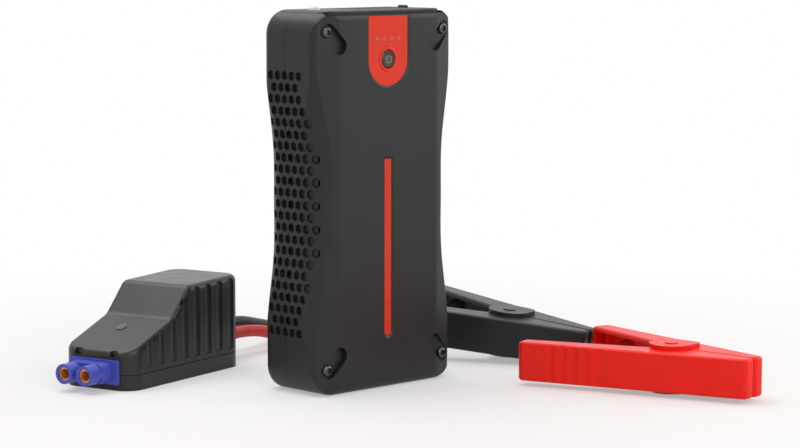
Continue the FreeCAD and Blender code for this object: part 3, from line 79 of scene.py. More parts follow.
# The near leg carries this many points of the coil, so that no gap opens when it turns, and its wire is
# thinner by this factor.
LEG_WRAP = 5
LEG_THIN = 0.95

# How far forward each row of grip dimples starts, from the top row down, and how far back its last dimple may
# lie, in millimetres behind the middle of the pack.
GRIP_FRONTS = (-5.7, -3.3, -5.7, -8.1, -10.5, -8.1, -10.5, -12.9, -10.5, -12.9, -10.5, -12.9, -10.5,
               -12.9, -10.5, -12.9, -10.5, -8.1, -10.5, -8.1, -5.7, -3.3, -5.7)
GRIP_BACK = 13.6
# The points of the dimples start this far to the side of the middle and look this far inward for the shells.
# Those still further out than the third value are dropped.
START_OUT = 60 * MM
LOOK_INWARD = 100 * MM
LEFT_OUT = 50 * MM
# A dimple's cutter: its ends as shares of the dimple's height, its length in dimple depths, and its sides.
MOUTH_SHARE = 1.22
FLOOR_SHARE = 0.86
CUTTER_DEPTHS = 2.0
CUTTER_SIDES = 6
# The ribs behind the foremost dimples in millimetres: across, from front to back, and up.
RIB = ((37.5, 40.46), (-12.56, -7.0), (40.0, 135.0))
# The corners of each face of the rib on the right; on the left they run the other way round.
RIB_FACES = ((0, 1, 3, 2), (4, 6, 7, 5), (0, 4, 5, 1), (2, 3, 7, 6), (0, 2, 6, 4), (1, 5, 7, 3))

# The line where the shells meet, darkened as painted shade for the gap between them: how far behind the
# middle it lies, half its width where it is darkest and where it ends, and the share of the colour that is
# left in it.
SEAM = 3.5 * MM
SEAM_LINE = (0.22 * MM, 0.42 * MM)
SEAM_SHADE = 0.05

# Points closer than this are one point, and points this near to a CAD face lie on it where the two faces look
# the same way, by the cosine between them.
SAME_POINT = 0.002 * MM
ON_FACE = 0.004 * MM
SAME_WAY = 0.985

# The photograph's viewpoint: its place in metres, its turn and its dip in degrees, and the direction of the
# picture's level line. Then the focal length and the picture's width in pixels, and the sensor's width in
# millimetres.
EYE_PLACE = (-0.8186, -0.86565, 0.2146)
EYE_TURN = -44.3
EYE_DIP = 6.63
EYE_LEVEL = (0.7154, -0.6987, 0.0017)
FOCAL_PIXELS = 2528.0
PICTURE_PIXELS = 800.0
SENSOR_WIDE = 36.0

# Each soft light's place, the point it looks at and its size in metres, and the setting that holds its power.
LIGHTS = {
    "overhead": ((-0.15, 0.35, 1.20), (0.0, 0.0, 0.0), 1.2, "top_power"),
    "front": ((-0.25, -1.30, 0.70), (0.0, 0.0, 0.05), 1.1, "front_power"),
    "right_side": ((1.10, -0.70, 0.60), (0.03, 0.0, 0.06), 0.8, "side_power"),
    "behind": ((0.80, 1.35, 0.85), (0.0, 0.0, 0.05), 0.8, "back_power"),
}
# Half the floor's width, and how far from under the pack its fade to white starts and ends, in metres.
FLOOR_REACH = 12.0
FADE = (0.14, 0.46)
# The share of plain white in the floor where the fade starts and where it ends.
FADE_SHARE = (0.38, 1.0)


# Sizes and colours that a user may change

class ShellSettings(bpy.types.PropertyGroup):
    dimple_wide: bpy.props.FloatProperty(
        name="Dimple width", description="Width of a grip dimple from front to back",
        default=3.8 * MM, unit="LENGTH", precision=5)
    dimple_tall: bpy.props.FloatProperty(
        name="Dimple height", description="Height of a grip dimple",
        default=4.5 * MM, unit="LENGTH", precision=5)
    dimple_deep: bpy.props.FloatProperty(
        name="Dimple depth", description="Depth of a grip dimple",
        default=1.6 * MM, unit="LENGTH", precision=5)
    row_pitch: bpy.props.FloatProperty(
        name="Row pitch", description="Distance between rows of dimples",
        default=5.42 * MM, unit="LENGTH", precision=5)
    column_pitch: bpy.props.FloatProperty(
        name="Column pitch", description="Distance between dimples in a row",
        default=4.8 * MM, unit="LENGTH", precision=5)
    top_row: bpy.props.FloatProperty(
        name="Top row", description="Height of the uppermost row of dimples",
        default=148.0 * MM, unit="LENGTH", precision=5)
    housing_colour: bpy.props.FloatVectorProperty(
        name="Housing", description="Colour of the pack's shells",
        subtype="COLOR", default=(0.0160, 0.0160, 0.0158), min=0, max=1)
    cap_colour: bpy.props.FloatVectorProperty(
        name="Cap", description="Colour of the top cap",
        subtype="COLOR", default=(0.0120, 0.0120, 0.0125), min=0, max=1)
    rubber_colour: bpy.props.FloatVectorProperty(
        name="Port cover", description="Colour of the rubber port cover",
        subtype="COLOR", default=(0.0100, 0.0100, 0.0105), min=0, max=1)


class PanelSettings(bpy.types.PropertyGroup):
    panel_colour: bpy.props.FloatVectorProperty(
        name="Panel", description="Colour of the control panel and its ring",
        subtype="COLOR", default=(0.650, 0.034, 0.014), min=0, max=1)
    stripe_colour: bpy.props.FloatVectorProperty(
        name="Stripe", description="Colour of the front stripe",
        subtype="COLOR", default=(0.610, 0.036, 0.015), min=0, max=1)
    button_colour: bpy.props.FloatVectorProperty(
        name="Button", description="Colour of the power button",
        subtype="COLOR", default=(0.034, 0.019, 0.010), min=0, max=1)
    symbol_wide: bpy.props.FloatProperty(
        name="Power sign", description="Width of the sign on the power button",
        default=3.6 * MM, unit="LENGTH", precision=5)
    line_wide: bpy.props.FloatProperty(
        name="Sign line", description="Width of the sign's line",
        default=0.42 * MM, unit="LENGTH", precision=5)


class BoxSettings(bpy.types.PropertyGroup):
    box_colour: bpy.props.FloatVectorProperty(
        name="Control box", description="Colour of the control box",
        subtype="COLOR", default=(0.0175, 0.0175, 0.0178), min=0, max=1)
    plug_colour: bpy.props.FloatVectorProperty(
        name="Plug", description="Colour of the plug's body",
        subtype="COLOR", default=(0.066, 0.084, 0.440), min=0, max=1)
    lens_colour: bpy.props.FloatVectorProperty(
        name="Indicator", description="Colour of the indicator lens",
        subtype="COLOR", default=(0.045, 0.044, 0.043), min=0, max=1)


class ClampSettings(bpy.types.PropertyGroup):
    red_colour: bpy.props.FloatVectorProperty(
        name="Red clamp", description="Colour of the red clamp",
        subtype="COLOR", default=(0.800, 0.012, 0.005), min=0, max=1)
    black_colour: bpy.props.FloatVectorProperty(
        name="Black clamp", description="Colour of the black clamp",
        subtype="COLOR", default=(0.0215, 0.0215, 0.0218), min=0, max=1)
    wire_wide: bpy.props.FloatProperty(
        name="Spring wire", description="Diameter of the spring wire",
        default=1.6 * MM, unit="LENGTH", precision=5)
    coil_round: bpy.props.FloatProperty(
        name="Coil radius", description="Radius of the spring's coil",
        default=4.6 * MM, unit="LENGTH", precision=5)
    coil_turns: bpy.props.FloatProperty(
        name="Turns", description="Full turns of the spring", default=3.0, min=1, max=6)
    coil_pitch: bpy.props.FloatProperty(
        name="Coil pitch", description="Rise of the spring in one turn",
        default=2.2 * MM, unit="LENGTH", precision=5)
    leg_long: bpy.props.FloatProperty(
        name="Spring leg", description="Length of a spring leg",
        default=33.0 * MM, unit="LENGTH", precision=5)
    leg_angle: bpy.props.FloatProperty(
        name="Leg angle", description="Angle of a leg from the clamp's middle line",
        default=math.radians(34.0), subtype="ANGLE")


class LeadSettings(bpy.types.PropertyGroup):
    lead_wide: bpy.props.FloatProperty(
        name="Lead", description="Diameter of a lead", default=6.0 * MM, unit="LENGTH", precision=5)
    red_colour: bpy.props.FloatVectorProperty(
        name="Red lead", description="Colour of the red lead",
        subtype="COLOR", default=(0.560, 0.020, 0.014), min=0, max=1)
    black_colour: bpy.props.FloatVectorProperty(
        name="Black lead", description="Colour of the black lead",
        subtype="COLOR", default=(0.0130, 0.0130, 0.0135), min=0, max=1)


class ScrewSettings(bpy.types.PropertyGroup):
    head_wide: bpy.props.FloatProperty(
        name="Head", description="Diameter of a housing screw's head",
        default=5.4 * MM, unit="LENGTH", precision=5)
    head_tall: bpy.props.FloatProperty(
        name="Head height", description="Height of a housing screw's head",
        default=1.7 * MM, unit="LENGTH", precision=5)
    shank_wide: bpy.props.FloatProperty(
        name="Shank", description="Diameter of a housing screw's shank",
        default=2.9 * MM, unit="LENGTH", precision=5)
    shank_long: bpy.props.FloatProperty(
        name="Shank length", description="Length of a housing screw's shank",
        default=9.0 * MM, unit="LENGTH", precision=5)
    seed: bpy.props.IntProperty(
        name="Turn seed", description="Picks how far each screw is turned", default=7)


class StageSettings(bpy.types.PropertyGroup):
    floor_colour: bpy.props.FloatVectorProperty(
        name="Floor", description="Colour of the floor",
        subtype="COLOR", default=(0.770, 0.742, 0.728), min=0, max=1)
    room_light: bpy.props.FloatProperty(
        name="Room light", description="Strength of the light from all around", default=0.40, min=0, max=3)
    top_power: bpy.props.FloatProperty(
        name="Overhead light", description="Power of the soft light overhead", default=12.5, unit="POWER")
    front_power: bpy.props.FloatProperty(
        name="Front light", description="Power of the soft light in front", default=8.2, unit="POWER")
    side_power: bpy.props.FloatProperty(
        name="Side light", description="Power of the soft light on the right", default=4.5, unit="POWER")
    back_power: bpy.props.FloatProperty(
        name="Back light", description="Power of the soft light behind", default=0.4, unit="POWER")


SETTINGS = {"jump_shell": ShellSettings, "jump_panel": PanelSettings, "jump_box": BoxSettings,
            "jump_clamp": ClampSettings, "jump_lead": LeadSettings, "jump_screw": ScrewSettings,
            "jump_stage": StageSettings}


# Node trees

def add(tree, kind, **values):
    """A new node; each value goes to the setting or the input socket of that name."""
    made = tree.nodes.new(kind)
    for key, value in values.items():
        if hasattr(made, key):
            setattr(made, key, value)
        else:
            made.inputs[key.replace("_", " ")].default_value = value
    return made


def join(tree, source, output, target, entry):
    """Link one node's output to another node's input."""
    tree.links.new(source.outputs[output], target.inputs[entry])


def scaled(tree, source, output, factor):
    """A node's output times a fixed factor."""
    product = add(tree, "ShaderNodeMath", operation="MULTIPLY")
    product.inputs[1].default_value = factor
    join(tree, source, output, product, 0)
    return product


def new_group(name, inputs):
    """An empty geometry tree with named inputs, and its two end nodes."""
    tree = bpy.data.node_groups.new(name, "GeometryNodeTree")
    tree.interface.new_socket(name="Geometry", in_out="INPUT", socket_type="NodeSocketGeometry")
    for label, kind, value in inputs:
        socket = tree.interface.new_socket(name=label, in_out="INPUT", socket_type=kind)
        if value is not None:
            socket.default_value = value
    tree.interface.new_socket(name="Geometry", in_out="OUTPUT", socket_type="NodeSocketGeometry")
    return tree, tree.nodes.new("NodeGroupInput"), tree.nodes.new("NodeGroupOutput")


def close_group(tree, start, end, last, output):
    """End a tree in Realize Instances and Set Material."""
    real = add(tree, "GeometryNodeRealizeInstances")
    finish = add(tree, "GeometryNodeSetMaterial")
    join(tree, last, output, real, "Geometry")
    join(tree, real, "Geometry", finish, "Geometry")
    join(tree, start, "Finish", finish, "Material")
    join(tree, finish, "Geometry", end, "Geometry")


def land_points(tree, start):
    """The points where they meet the surface, sunk by the depth, and the node that keeps where it faces."""
    spots = add(tree, "GeometryNodeObjectInfo")
    join(tree, start, "Points", spots, "Object")
    surface = add(tree, "GeometryNodeObjectInfo")
    join(tree, start, "Surface", surface, "Object")
    aim = add(tree, "ShaderNodeCombineXYZ")
    join(tree, scaled(tree, start, "Side", -1.0), 0, aim, "X")
    ray = add(tree, "GeometryNodeRaycast", Ray_Length=LOOK_INWARD)
    join(tree, surface, "Geometry", ray, "Target Geometry")
    join(tree, aim, 0, ray, "Ray Direction")
    facing = add(tree, "GeometryNodeCaptureAttribute", domain="POINT")
    facing.capture_items.new("VECTOR", "Facing")
    join(tree, spots, "Geometry", facing, "Geometry")
    join(tree, ray, "Hit Normal", facing, "Facing")
    sunk = add(tree, "ShaderNodeVectorMath", operation="SCALE")
    join(tree, ray, "Hit Normal", sunk, 0)
    join(tree, scaled(tree, start, "Depth", -1.0), 0, sunk, "Scale")
    placed = add(tree, "GeometryNodeSetPosition")
    join(tree, facing, "Geometry", placed, "Geometry")
    join(tree, ray, "Is Hit", placed, "Selection")
    join(tree, ray, "Hit Position", placed, "Position")
    join(tree, sunk, 0, placed, "Offset")
    # Points that met nothing are still beside the shell and are dropped.
    split = add(tree, "ShaderNodeSeparateXYZ")
    join(tree, add(tree, "GeometryNodeInputPosition"), 0, split, 0)
    out = add(tree, "ShaderNodeMath", operation="ABSOLUTE")
    join(tree, split, "X", out, 0)
    missed = add(tree, "FunctionNodeCompare", data_type="FLOAT", operation="GREATER_THAN")
    missed.inputs[1].default_value = LEFT_OUT
    join(tree, out, 0, missed, 0)
    kept = add(tree, "GeometryNodeDeleteGeometry", domain="POINT")
    join(tree, placed, "Geometry", kept, "Geometry")
    join(tree, missed, 0, kept, "Selection")
    return kept, facing


def hexagon_cutter(tree, start):
    """A six-sided cone that widens outward, and the scale that makes it as wide as the dimple."""
    half = scaled(tree, start, "Height", 0.5)
    cone = add(tree, "GeometryNodeMeshCone", Vertices=CUTTER_SIDES)
    join(tree, scaled(tree, half, 0, MOUTH_SHARE), 0, cone, "Radius Top")
    join(tree, scaled(tree, half, 0, FLOOR_SHARE), 0, cone, "Radius Bottom")
    join(tree, scaled(tree, start, "Depth", CUTTER_DEPTHS), 0, cone, "Depth")
    squeeze = add(tree, "ShaderNodeMath", operation="DIVIDE")
    join(tree, start, "Width", squeeze, 0)
    join(tree, start, "Height", squeeze, 1)
    # A hexagon is narrower across its flats than across its corners.
    across_flats = scaled(tree, squeeze, 0, 2 / math.sqrt(3))
    shape = add(tree, "ShaderNodeCombineXYZ", X=1.0, Z=1.0)
    join(tree, across_flats, 0, shape, "Y")
    return cone, shape


def dimple_group():
    """Cuts tapered hexagonal dimples, square to a surface, where points meet that surface from one side."""
    tree, start, end = new_group("grip_dimples", [
        ("Points", "NodeSocketObject", None), ("Surface", "NodeSocketObject", None),
        ("Side", "NodeSocketFloat", 1.0), ("Width", "NodeSocketFloat", 3.8 * MM),
        ("Height", "NodeSocketFloat", 4.5 * MM), ("Depth", "NodeSocketFloat", 1.6 * MM),
        ("Finish", "NodeSocketMaterial", None)])
    spots, facing = land_points(tree, start)
    cone, shape = hexagon_cutter(tree, start)
    upright = add(tree, "FunctionNodeAxesToRotation", primary_axis="Z", secondary_axis="X")
    upright.inputs["Secondary Axis"].default_value = (0.0, 0.0, 1.0)
    join(tree, facing, "Facing", upright, "Primary Axis")
    many = add(tree, "GeometryNodeInstanceOnPoints")
    join(tree, spots, "Geometry", many, "Points")
    join(tree, cone, "Mesh", many, "Instance")
    join(tree, upright, "Rotation", many, "Rotation")
    join(tree, shape, 0, many, "Scale")
    cutters = add(tree, "GeometryNodeRealizeInstances")
    join(tree, many, "Instances", cutters, "Geometry")
    carve = add(tree, "GeometryNodeMeshBoolean", operation="DIFFERENCE", solver="EXACT")
    join(tree, start, "Geometry", carve, "Mesh 1")
    join(tree, cutters, "Geometry", carve, "Mesh 2")
    close_group(tree, start, end, carve, "Mesh")
    return tree


def scatter_group():
    """Puts a piece on each point, turned by a random amount about one axis."""
    tree, start, end = new_group("scattered_pieces", [
        ("Piece", "NodeSocketObject", None), ("Axis", "NodeSocketVector", (0.0, 1.0, 0.0)),
        ("Turn", "NodeSocketFloat", 6.28), ("Seed", "NodeSocketInt", 1),
        ("Finish", "NodeSocketMaterial", None)])
    piece = add(tree, "GeometryNodeObjectInfo")
    join(tree, start, "Piece", piece, "Object")
    chance = add(tree, "FunctionNodeRandomValue", data_type="FLOAT")
    join(tree, start, "Turn", chance, 3)
    join(tree, start, "Seed", chance, "Seed")
    spin = add(tree, "ShaderNodeVectorMath", operation="SCALE")
    join(tree, start, "Axis", spin, 0)
    join(tree, chance, 1, spin, "Scale")
    many = add(tree, "GeometryNodeInstanceOnPoints")
    join(tree, start, "Geometry", many, "Points")
    join(tree, piece, "Geometry", many, "Instance")
    join(tree, spin, 0, many, "Rotation")
    close_group(tree, start, end, many, "Instances")
    return tree


def wire_group():
    """Turns a line of edges into a round wire with closed ends."""
    tree, start, end = new_group("round_wire", [
        ("Radius", "NodeSocketFloat", 1.0 * MM), ("Sides", "NodeSocketInt", 16),
        ("Finish", "NodeSocketMaterial", None)])
    line = add(tree, "GeometryNodeMeshToCurve")
    ring = add(tree, "GeometryNodeCurvePrimitiveCircle")
    sweep = add(tree, "GeometryNodeCurveToMesh", Fill_Caps=True)
    join(tree, start, "Geometry", line, "Mesh")
    join(tree, start, "Radius", ring, "Radius")
    join(tree, start, "Sides", ring, "Resolution")
    join(tree, line, "Curve", sweep, "Curve")
    join(tree, ring, "Curve", sweep, "Profile Curve")
    close_group(tree, start, end, sweep, "Mesh")
    return tree


def settle(piece):
    """Turn an object's modifiers into its plain mesh."""
    graph = bpy.context.evaluated_depsgraph_get()
    mesh = bpy.data.meshes.new_from_object(piece.evaluated_get(graph))
    piece.modifiers.clear()
    piece.data = mesh


def run_group(piece, tree, **values):
    """Run a geometry tree on an object, its inputs set by their identifiers."""
    modifier = piece.modifiers.new(tree.name, "NODES")
    modifier.node_group = tree
    for item in tree.interface.items_tree:
        if item.in_out == "INPUT" and item.name in values:
            modifier[item.identifier] = values[item.name]
    settle(piece)


# Meshes

def show(name, data):
    """A new object at the origin for a mesh, a curve, a light or a camera."""
    made = bpy.data.objects.new(name, data)
    bpy.context.scene.collection.objects.link(made)
    return made


def remove(piece):
    """Delete a helper object."""
    bpy.data.objects.remove(piece, do_unlink=True)


def new_piece(name, points, faces=(), edges=()):
    """A mesh object from points, faces and edges."""
    mesh = bpy.data.meshes.new(name)
    mesh.from_pydata([tuple(point) for point in points], list(edges), list(faces))
    return show(name, mesh)


def merged_copy(name, *nodes):
    """A copy of the mesh of CAD nodes with its doubled points merged."""
    made = bmesh.new()
    for node in nodes:
        made.from_mesh(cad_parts[node].data)
    bmesh.ops.remove_doubles(made, verts=made.verts, dist=SAME_POINT)
    mesh = bpy.data.meshes.new(name)
    made.to_mesh(mesh)
    made.free()
    return show(name, mesh)


def face_tree(mesh):
    """A mesh's faces, ready to be hit by rays or searched for near points."""
    return BVHTree.FromPolygons([v.co for v in mesh.vertices], [tuple(p.vertices) for p in mesh.polygons])


def smooth(piece, degrees):
    """Smooth shading with sharp edges above an angle; large faces keep their own direction."""
    for polygon in piece.data.polygons:
        polygon.use_smooth = True
    piece.data.set_sharp_from_angle(angle=math.radians(degrees))
    modifier = piece.modifiers.new("even_normals", "WEIGHTED_NORMAL")
    modifier.mode = "FACE_AREA"
    modifier.weight = 100
    modifier.keep_sharp = True
    settle(piece)


def follow_surface(piece, node):
    """Shade faces that lie on a CAD node with that node's own normals; all others stay flat."""
    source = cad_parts[node].data
    corners = [normal.vector.copy() for normal in source.corner_normals]
    tree = face_tree(source)
    mesh = piece.data
    normals = [None] * len(mesh.loops)
    for face in mesh.polygons:
        face.use_smooth = True
        for loop in face.loop_indices:
            point = mesh.vertices[mesh.loops[loop].vertex_index].co
            near = tree.find_nearest_range(point, ON_FACE)
            found = [hit for hit in near if hit[1].dot(face.normal) > SAME_WAY]
            normals[loop] = face.normal.copy()
            if found:
                hit = max(found, key=lambda hit: hit[1].dot(face.normal))
                under = source.polygons[hit[2]]
                a, b, c = (source.vertices[index].co for index in under.vertices[:3])
                na, nb, nc = (corners[index] for index in under.loop_indices[:3])
                normals[loop] = barycentric_transform(hit[0], a, b, c, na, nb, nc).normalized()
    mesh.normals_split_custom_set(normals)


def draw_wire(name, points, edges, wide, sides, finish):
    """A round wire along edges between points."""
    wire = new_piece(name, points, edges=edges)
    run_group(wire, wire_group(), Radius=wide / 2, Sides=sides, Finish=finish)
    smooth(wire, 60.0)
    return wire


def paint_nodes(finish, *nodes):
    """Give CAD nodes a material."""
    for node in nodes:
        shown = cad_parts[node]
        if not shown.material_slots:
            shown.data.materials.append(finish)
        for slot in shown.material_slots:
            slot.material = finish


def stand_for(piece, body, slot, *nodes):
    """A finished piece rides on a body and stands for CAD nodes, which it hides; the slot is not used."""
    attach(piece, body)
    if nodes:
        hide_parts(*nodes)


# Materials

def start_finish(name):
    """A material with its shader and the coordinates that its patterns follow."""
    finish = bpy.data.materials.new(name)
    finish.use_nodes = True
    tree = finish.node_tree
    tree.nodes.clear()
    out = add(tree, "ShaderNodeOutputMaterial")
    shader = add(tree, "ShaderNodeBsdfPrincipled")
    join(tree, shader, "BSDF", out, "Surface")
    return finish, tree, shader, add(tree, "ShaderNodeTexCoord")


def noise(tree, place, scale, detail=3.0, stretch=None):
    """A noise pattern on object coordinates, stretched if asked."""
    pattern = add(tree, "ShaderNodeTexNoise", Scale=scale, Detail=detail)
    if stretch:
        mapping = add(tree, "ShaderNodeMapping", Scale=stretch)
        join(tree, place, "Object", mapping, "Vector")
        join(tree, mapping, "Vector", pattern, "Vector")
    else:
        join(tree, place, "Object", pattern, "Vector")
    return pattern


def spread(tree, source, output, low, high, entry_low=0.3, entry_high=0.7):
    """Map a range of a value, by default a pattern's middle one, to other limits."""
    ranged = add(tree, "ShaderNodeMapRange")
    limits = {"From Min": entry_low, "From Max": entry_high, "To Min": low, "To Max": high}
    for entry, value in limits.items():
        ranged.inputs[entry].default_value = value
    join(tree, source, output, ranged, "Value")
    return ranged


def tint(tree, shader, pattern, colour, change):
    """Let a pattern lighten and darken a colour a little."""
    blend = add(tree, "ShaderNodeMix", data_type="RGBA")
    dark, light = (socket for socket in blend.inputs if socket.type == "RGBA")
    dark.default_value = tuple(part * (1 - change) for part in colour) + (1.0,)
    light.default_value = tuple(min(part * (1 + change), 1.0) for part in colour) + (1.0,)
    join(tree, spread(tree, pattern, 0, 0.0, 1.0), "Result", blend, 0)
    mixed = next(socket for socket in blend.outputs if socket.type == "RGBA")
    tree.links.new(mixed, shader.inputs["Base Color"])


def vary_gloss(tree, shader, pattern, low, high):
    """Let a pattern move the roughness between two values."""
    join(tree, spread(tree, pattern, 0, low, high), "Result", shader, "Roughness")


def relief(tree, shader, pattern, depth, output=0):
    """Let a pattern stand out of the surface by a depth."""
    bump = add(tree, "ShaderNodeBump", Strength=1.0, Distance=depth)
    join(tree, pattern, output, bump, "Height")
    join(tree, bump, "Normal", shader, "Normal")


def moulded(name, colour, rough, grain=0.35, depth=0.02, change=0.10, shine=0.30):
    """Moulded plastic with a fine grain, sized in millimetres, faint cloudy colour and uneven gloss."""
    finish, tree, shader, place = start_finish(name)
    tint(tree, shader, noise(tree, place, scale=45.0, detail=4.0), colour, change)
    vary_gloss(tree, shader, noise(tree, place, scale=130.0, detail=2.0), rough - 0.03, rough + 0.03)
    relief(tree, shader, noise(tree, place, scale=1000.0 / grain, detail=2.0), depth * MM)
    shader.inputs["Specular IOR Level"].default_value = shine
    return finish


def paint_seam_shade(finish):
    """Paint shade on the fine line where the two shells meet, standing in for the shade in the gap between
    them.
    """
    tree = finish.node_tree
    shader = next(node for node in tree.nodes if node.type == "BSDF_PRINCIPLED")
    place = next(node for node in tree.nodes if node.type == "TEX_COORD")
    split = add(tree, "ShaderNodeSeparateXYZ")
    join(tree, place, "Object", split, 0)
    behind = add(tree, "ShaderNodeMath", operation="SUBTRACT")
    behind.inputs[1].default_value = SEAM
    join(tree, split, "Y", behind, 0)
    away = add(tree, "ShaderNodeMath", operation="ABSOLUTE")
    join(tree, behind, 0, away, 0)
    # Painted shade: the colour falls to the seam's share along the line where the shells meet.
    shade = spread(tree, away, 0, SEAM_SHADE, 1.0, *SEAM_LINE)
    shaded = add(tree, "ShaderNodeVectorMath", operation="SCALE")
    tree.links.new(shader.inputs["Base Color"].links[0].from_socket, shaded.inputs[0])
    join(tree, shade, "Result", shaded, "Scale")
    join(tree, shaded, 0, shader, "Base Color")


def rubber(name, colour, rough=0.62):
    """Soft rubber: dull, with a fine matt bloom."""
    finish, tree, shader, place = start_finish(name)
    tint(tree, shader, noise(tree, place, scale=220.0, detail=5.0), colour, 0.18)
    vary_gloss(tree, shader, noise(tree, place, scale=500.0), rough - 0.07, rough + 0.07)
    relief(tree, shader, noise(tree, place, scale=3600.0, detail=2.0), 0.015 * MM)
    shader.inputs["Specular IOR Level"].default_value = 0.30
    return finish


def metal(name, colour, rough=0.28, stretch=(1.0, 1.0, 12.0), depth=0.004, bare=1.0):
    """Drawn or plated metal with fine lines and uneven gloss; bare is the metal's share in the finish."""
    finish, tree, shader, place = start_finish(name)
    lines = noise(tree, place, scale=900.0, stretch=stretch)
    tint(tree, shader, lines, colour, 0.08)
    vary_gloss(tree, shader, noise(tree, place, scale=260.0, detail=2.0), rough - 0.08, rough + 0.10)
    relief(tree, shader, lines, depth * MM)
    shader.inputs["Metallic"].default_value = bare
    return finish


def lens(name, colour, rough, clear):
    """Clear or tinted moulded lens with flow marks."""
    finish, tree, shader, place = start_finish(name)
    tint(tree, shader, noise(tree, place, scale=400.0, detail=2.0), colour, 0.06)
    vary_gloss(tree, shader, noise(tree, place, scale=700.0), rough, rough + 0.06)
    relief(tree, shader, noise(tree, place, scale=1500.0, detail=1.0), 0.004 * MM)
    shader.inputs["Transmission Weight"].default_value = clear
    shader.inputs["IOR"].default_value = 1.49
    return finish


def circuit(name):
    """A green board with paler copper runs under the mask."""
    finish, tree, shader, place = start_finish(name)
    cells = add(tree, "ShaderNodeTexBrick", Scale=160.0, Mortar_Size=0.05)
    cells.inputs["Color1"].default_value = (0.008, 0.080, 0.026, 1.0)
    cells.inputs["Color2"].default_value = (0.012, 0.105, 0.036, 1.0)
    cells.inputs["Mortar"].default_value = (0.035, 0.190, 0.070, 1.0)
    join(tree, place, "Object", cells, "Vector")
    join(tree, cells, "Color", shader, "Base Color")
    vary_gloss(tree, shader, noise(tree, place, scale=600.0), 0.28, 0.40)
    relief(tree, shader, cells, 0.02 * MM, output="Fac")
    return finish


def foil(name):
    """The crinkled foil of a pouch cell."""
    finish, tree, shader, place = start_finish(name)
    creases = add(tree, "ShaderNodeTexVoronoi", Scale=90.0, feature="DISTANCE_TO_EDGE")
    join(tree, place, "Object", creases, "Vector")
    tint(tree, shader, noise(tree, place, scale=160.0), (0.55, 0.56, 0.58), 0.07)
    vary_gloss(tree, shader, noise(tree, place, scale=300.0), 0.26, 0.40)
    relief(tree, shader, creases, 0.15 * MM)
    shader.inputs["Metallic"].default_value = 0.9
    return finish


# Pieces

def dimple_points(settings, side):
    """Points beside one long side of the pack, one for each grip dimple."""
    points = []
    for row, front in enumerate(GRIP_FRONTS):
        height = settings.top_row - row * settings.row_pitch
        at = front * MM
        while at < GRIP_BACK * MM:
            points.append((side * START_OUT, at, height))
            at += settings.column_pitch
    return new_piece("dimple_points", points)


def add_ribs(piece):
    """Thicken a shell behind the foremost dimples with a rib in each inner corner."""
    points, faces = [], []
    for side in (-1.0, 1.0):
        first = len(points)
        points += [(side * x * MM, y * MM, z * MM) for x in RIB[0] for y in RIB[1] for z in RIB[2]]
        for face in RIB_FACES:
            outward = face if side > 0 else reversed(face)
            faces.append(tuple(first + corner for corner in outward))
    ribs = new_piece("backing_ribs", points, faces)
    modifier = piece.modifiers.new("backing", "BOOLEAN")
    modifier.operation = "UNION"
    modifier.solver = "EXACT"
    modifier.object = ribs
    settle(piece)
    remove(ribs)


class JUMP_OT_shells(bpy.types.Operator):
    """Make both shells of the pack with their dimpled grips"""

    bl_idname = "jump.shells"
    bl_label = "Shells and grips"

    def execute(self, context):
        settings = context.scene.jump_shell
        finish = moulded("housing_plastic", settings.housing_colour,
                         rough=0.38, grain=0.55, depth=0.012, shine=0.28)
        # Painted shade along the line where the two shells meet.
        paint_seam_shade(finish)
        tree = dimple_group()
        # Dimples on the seam are found on both shells together, and each shell gets its half of them.
        both = merged_copy("both_shells", "front_shell", "rear_shell")
        for node in ("front_shell", "rear_shell"):
            piece = merged_copy(node + "_skin", node)
            if node == "front_shell":
                add_ribs(piece)
            for side in (-1.0, 1.0):
                points = dimple_points(settings, side)
                run_group(piece, tree, Points=points, Surface=both, Side=side, Width=settings.dimple_wide,
                          Height=settings.dimple_tall, Depth=settings.dimple_deep, Finish=finish)
                remove(points)
            follow_surface(piece, node)
            stand_for(piece, "root", "housing", node)
        remove(both)
        return {"FINISHED"}


class JUMP_OT_top(bpy.types.Operator):
    """Finish the cap, the port cover and what lies under it"""

    bl_idname = "jump.top"
    bl_label = "Cap and ports"

    def execute(self, context):
        settings = context.scene.jump_shell
        cap = moulded("cap_plastic", settings.cap_colour, rough=0.40, grain=0.45, shine=0.24)
        paint_nodes(cap, "top_cap")
        paint_nodes(rubber("port_cover_rubber", settings.rubber_colour), "port_cover")
        paint_nodes(lens("torch_plastic", (0.86, 0.87, 0.88), rough=0.10, clear=0.35), "torch_lens")
        paint_nodes(moulded("socket_plastic", (0.020, 0.020, 0.022), rough=0.50), "output_socket")
        paint_nodes(metal("pin_brass", (0.78, 0.56, 0.25)), "output_pins")
        paint_nodes(metal("port_steel", (0.62, 0.62, 0.63), rough=0.24), "charge_port_shell")
        paint_nodes(moulded("port_tongue_plastic", (0.018, 0.018, 0.020), rough=0.42), "charge_port_tongue")
        return {"FINISHED"}


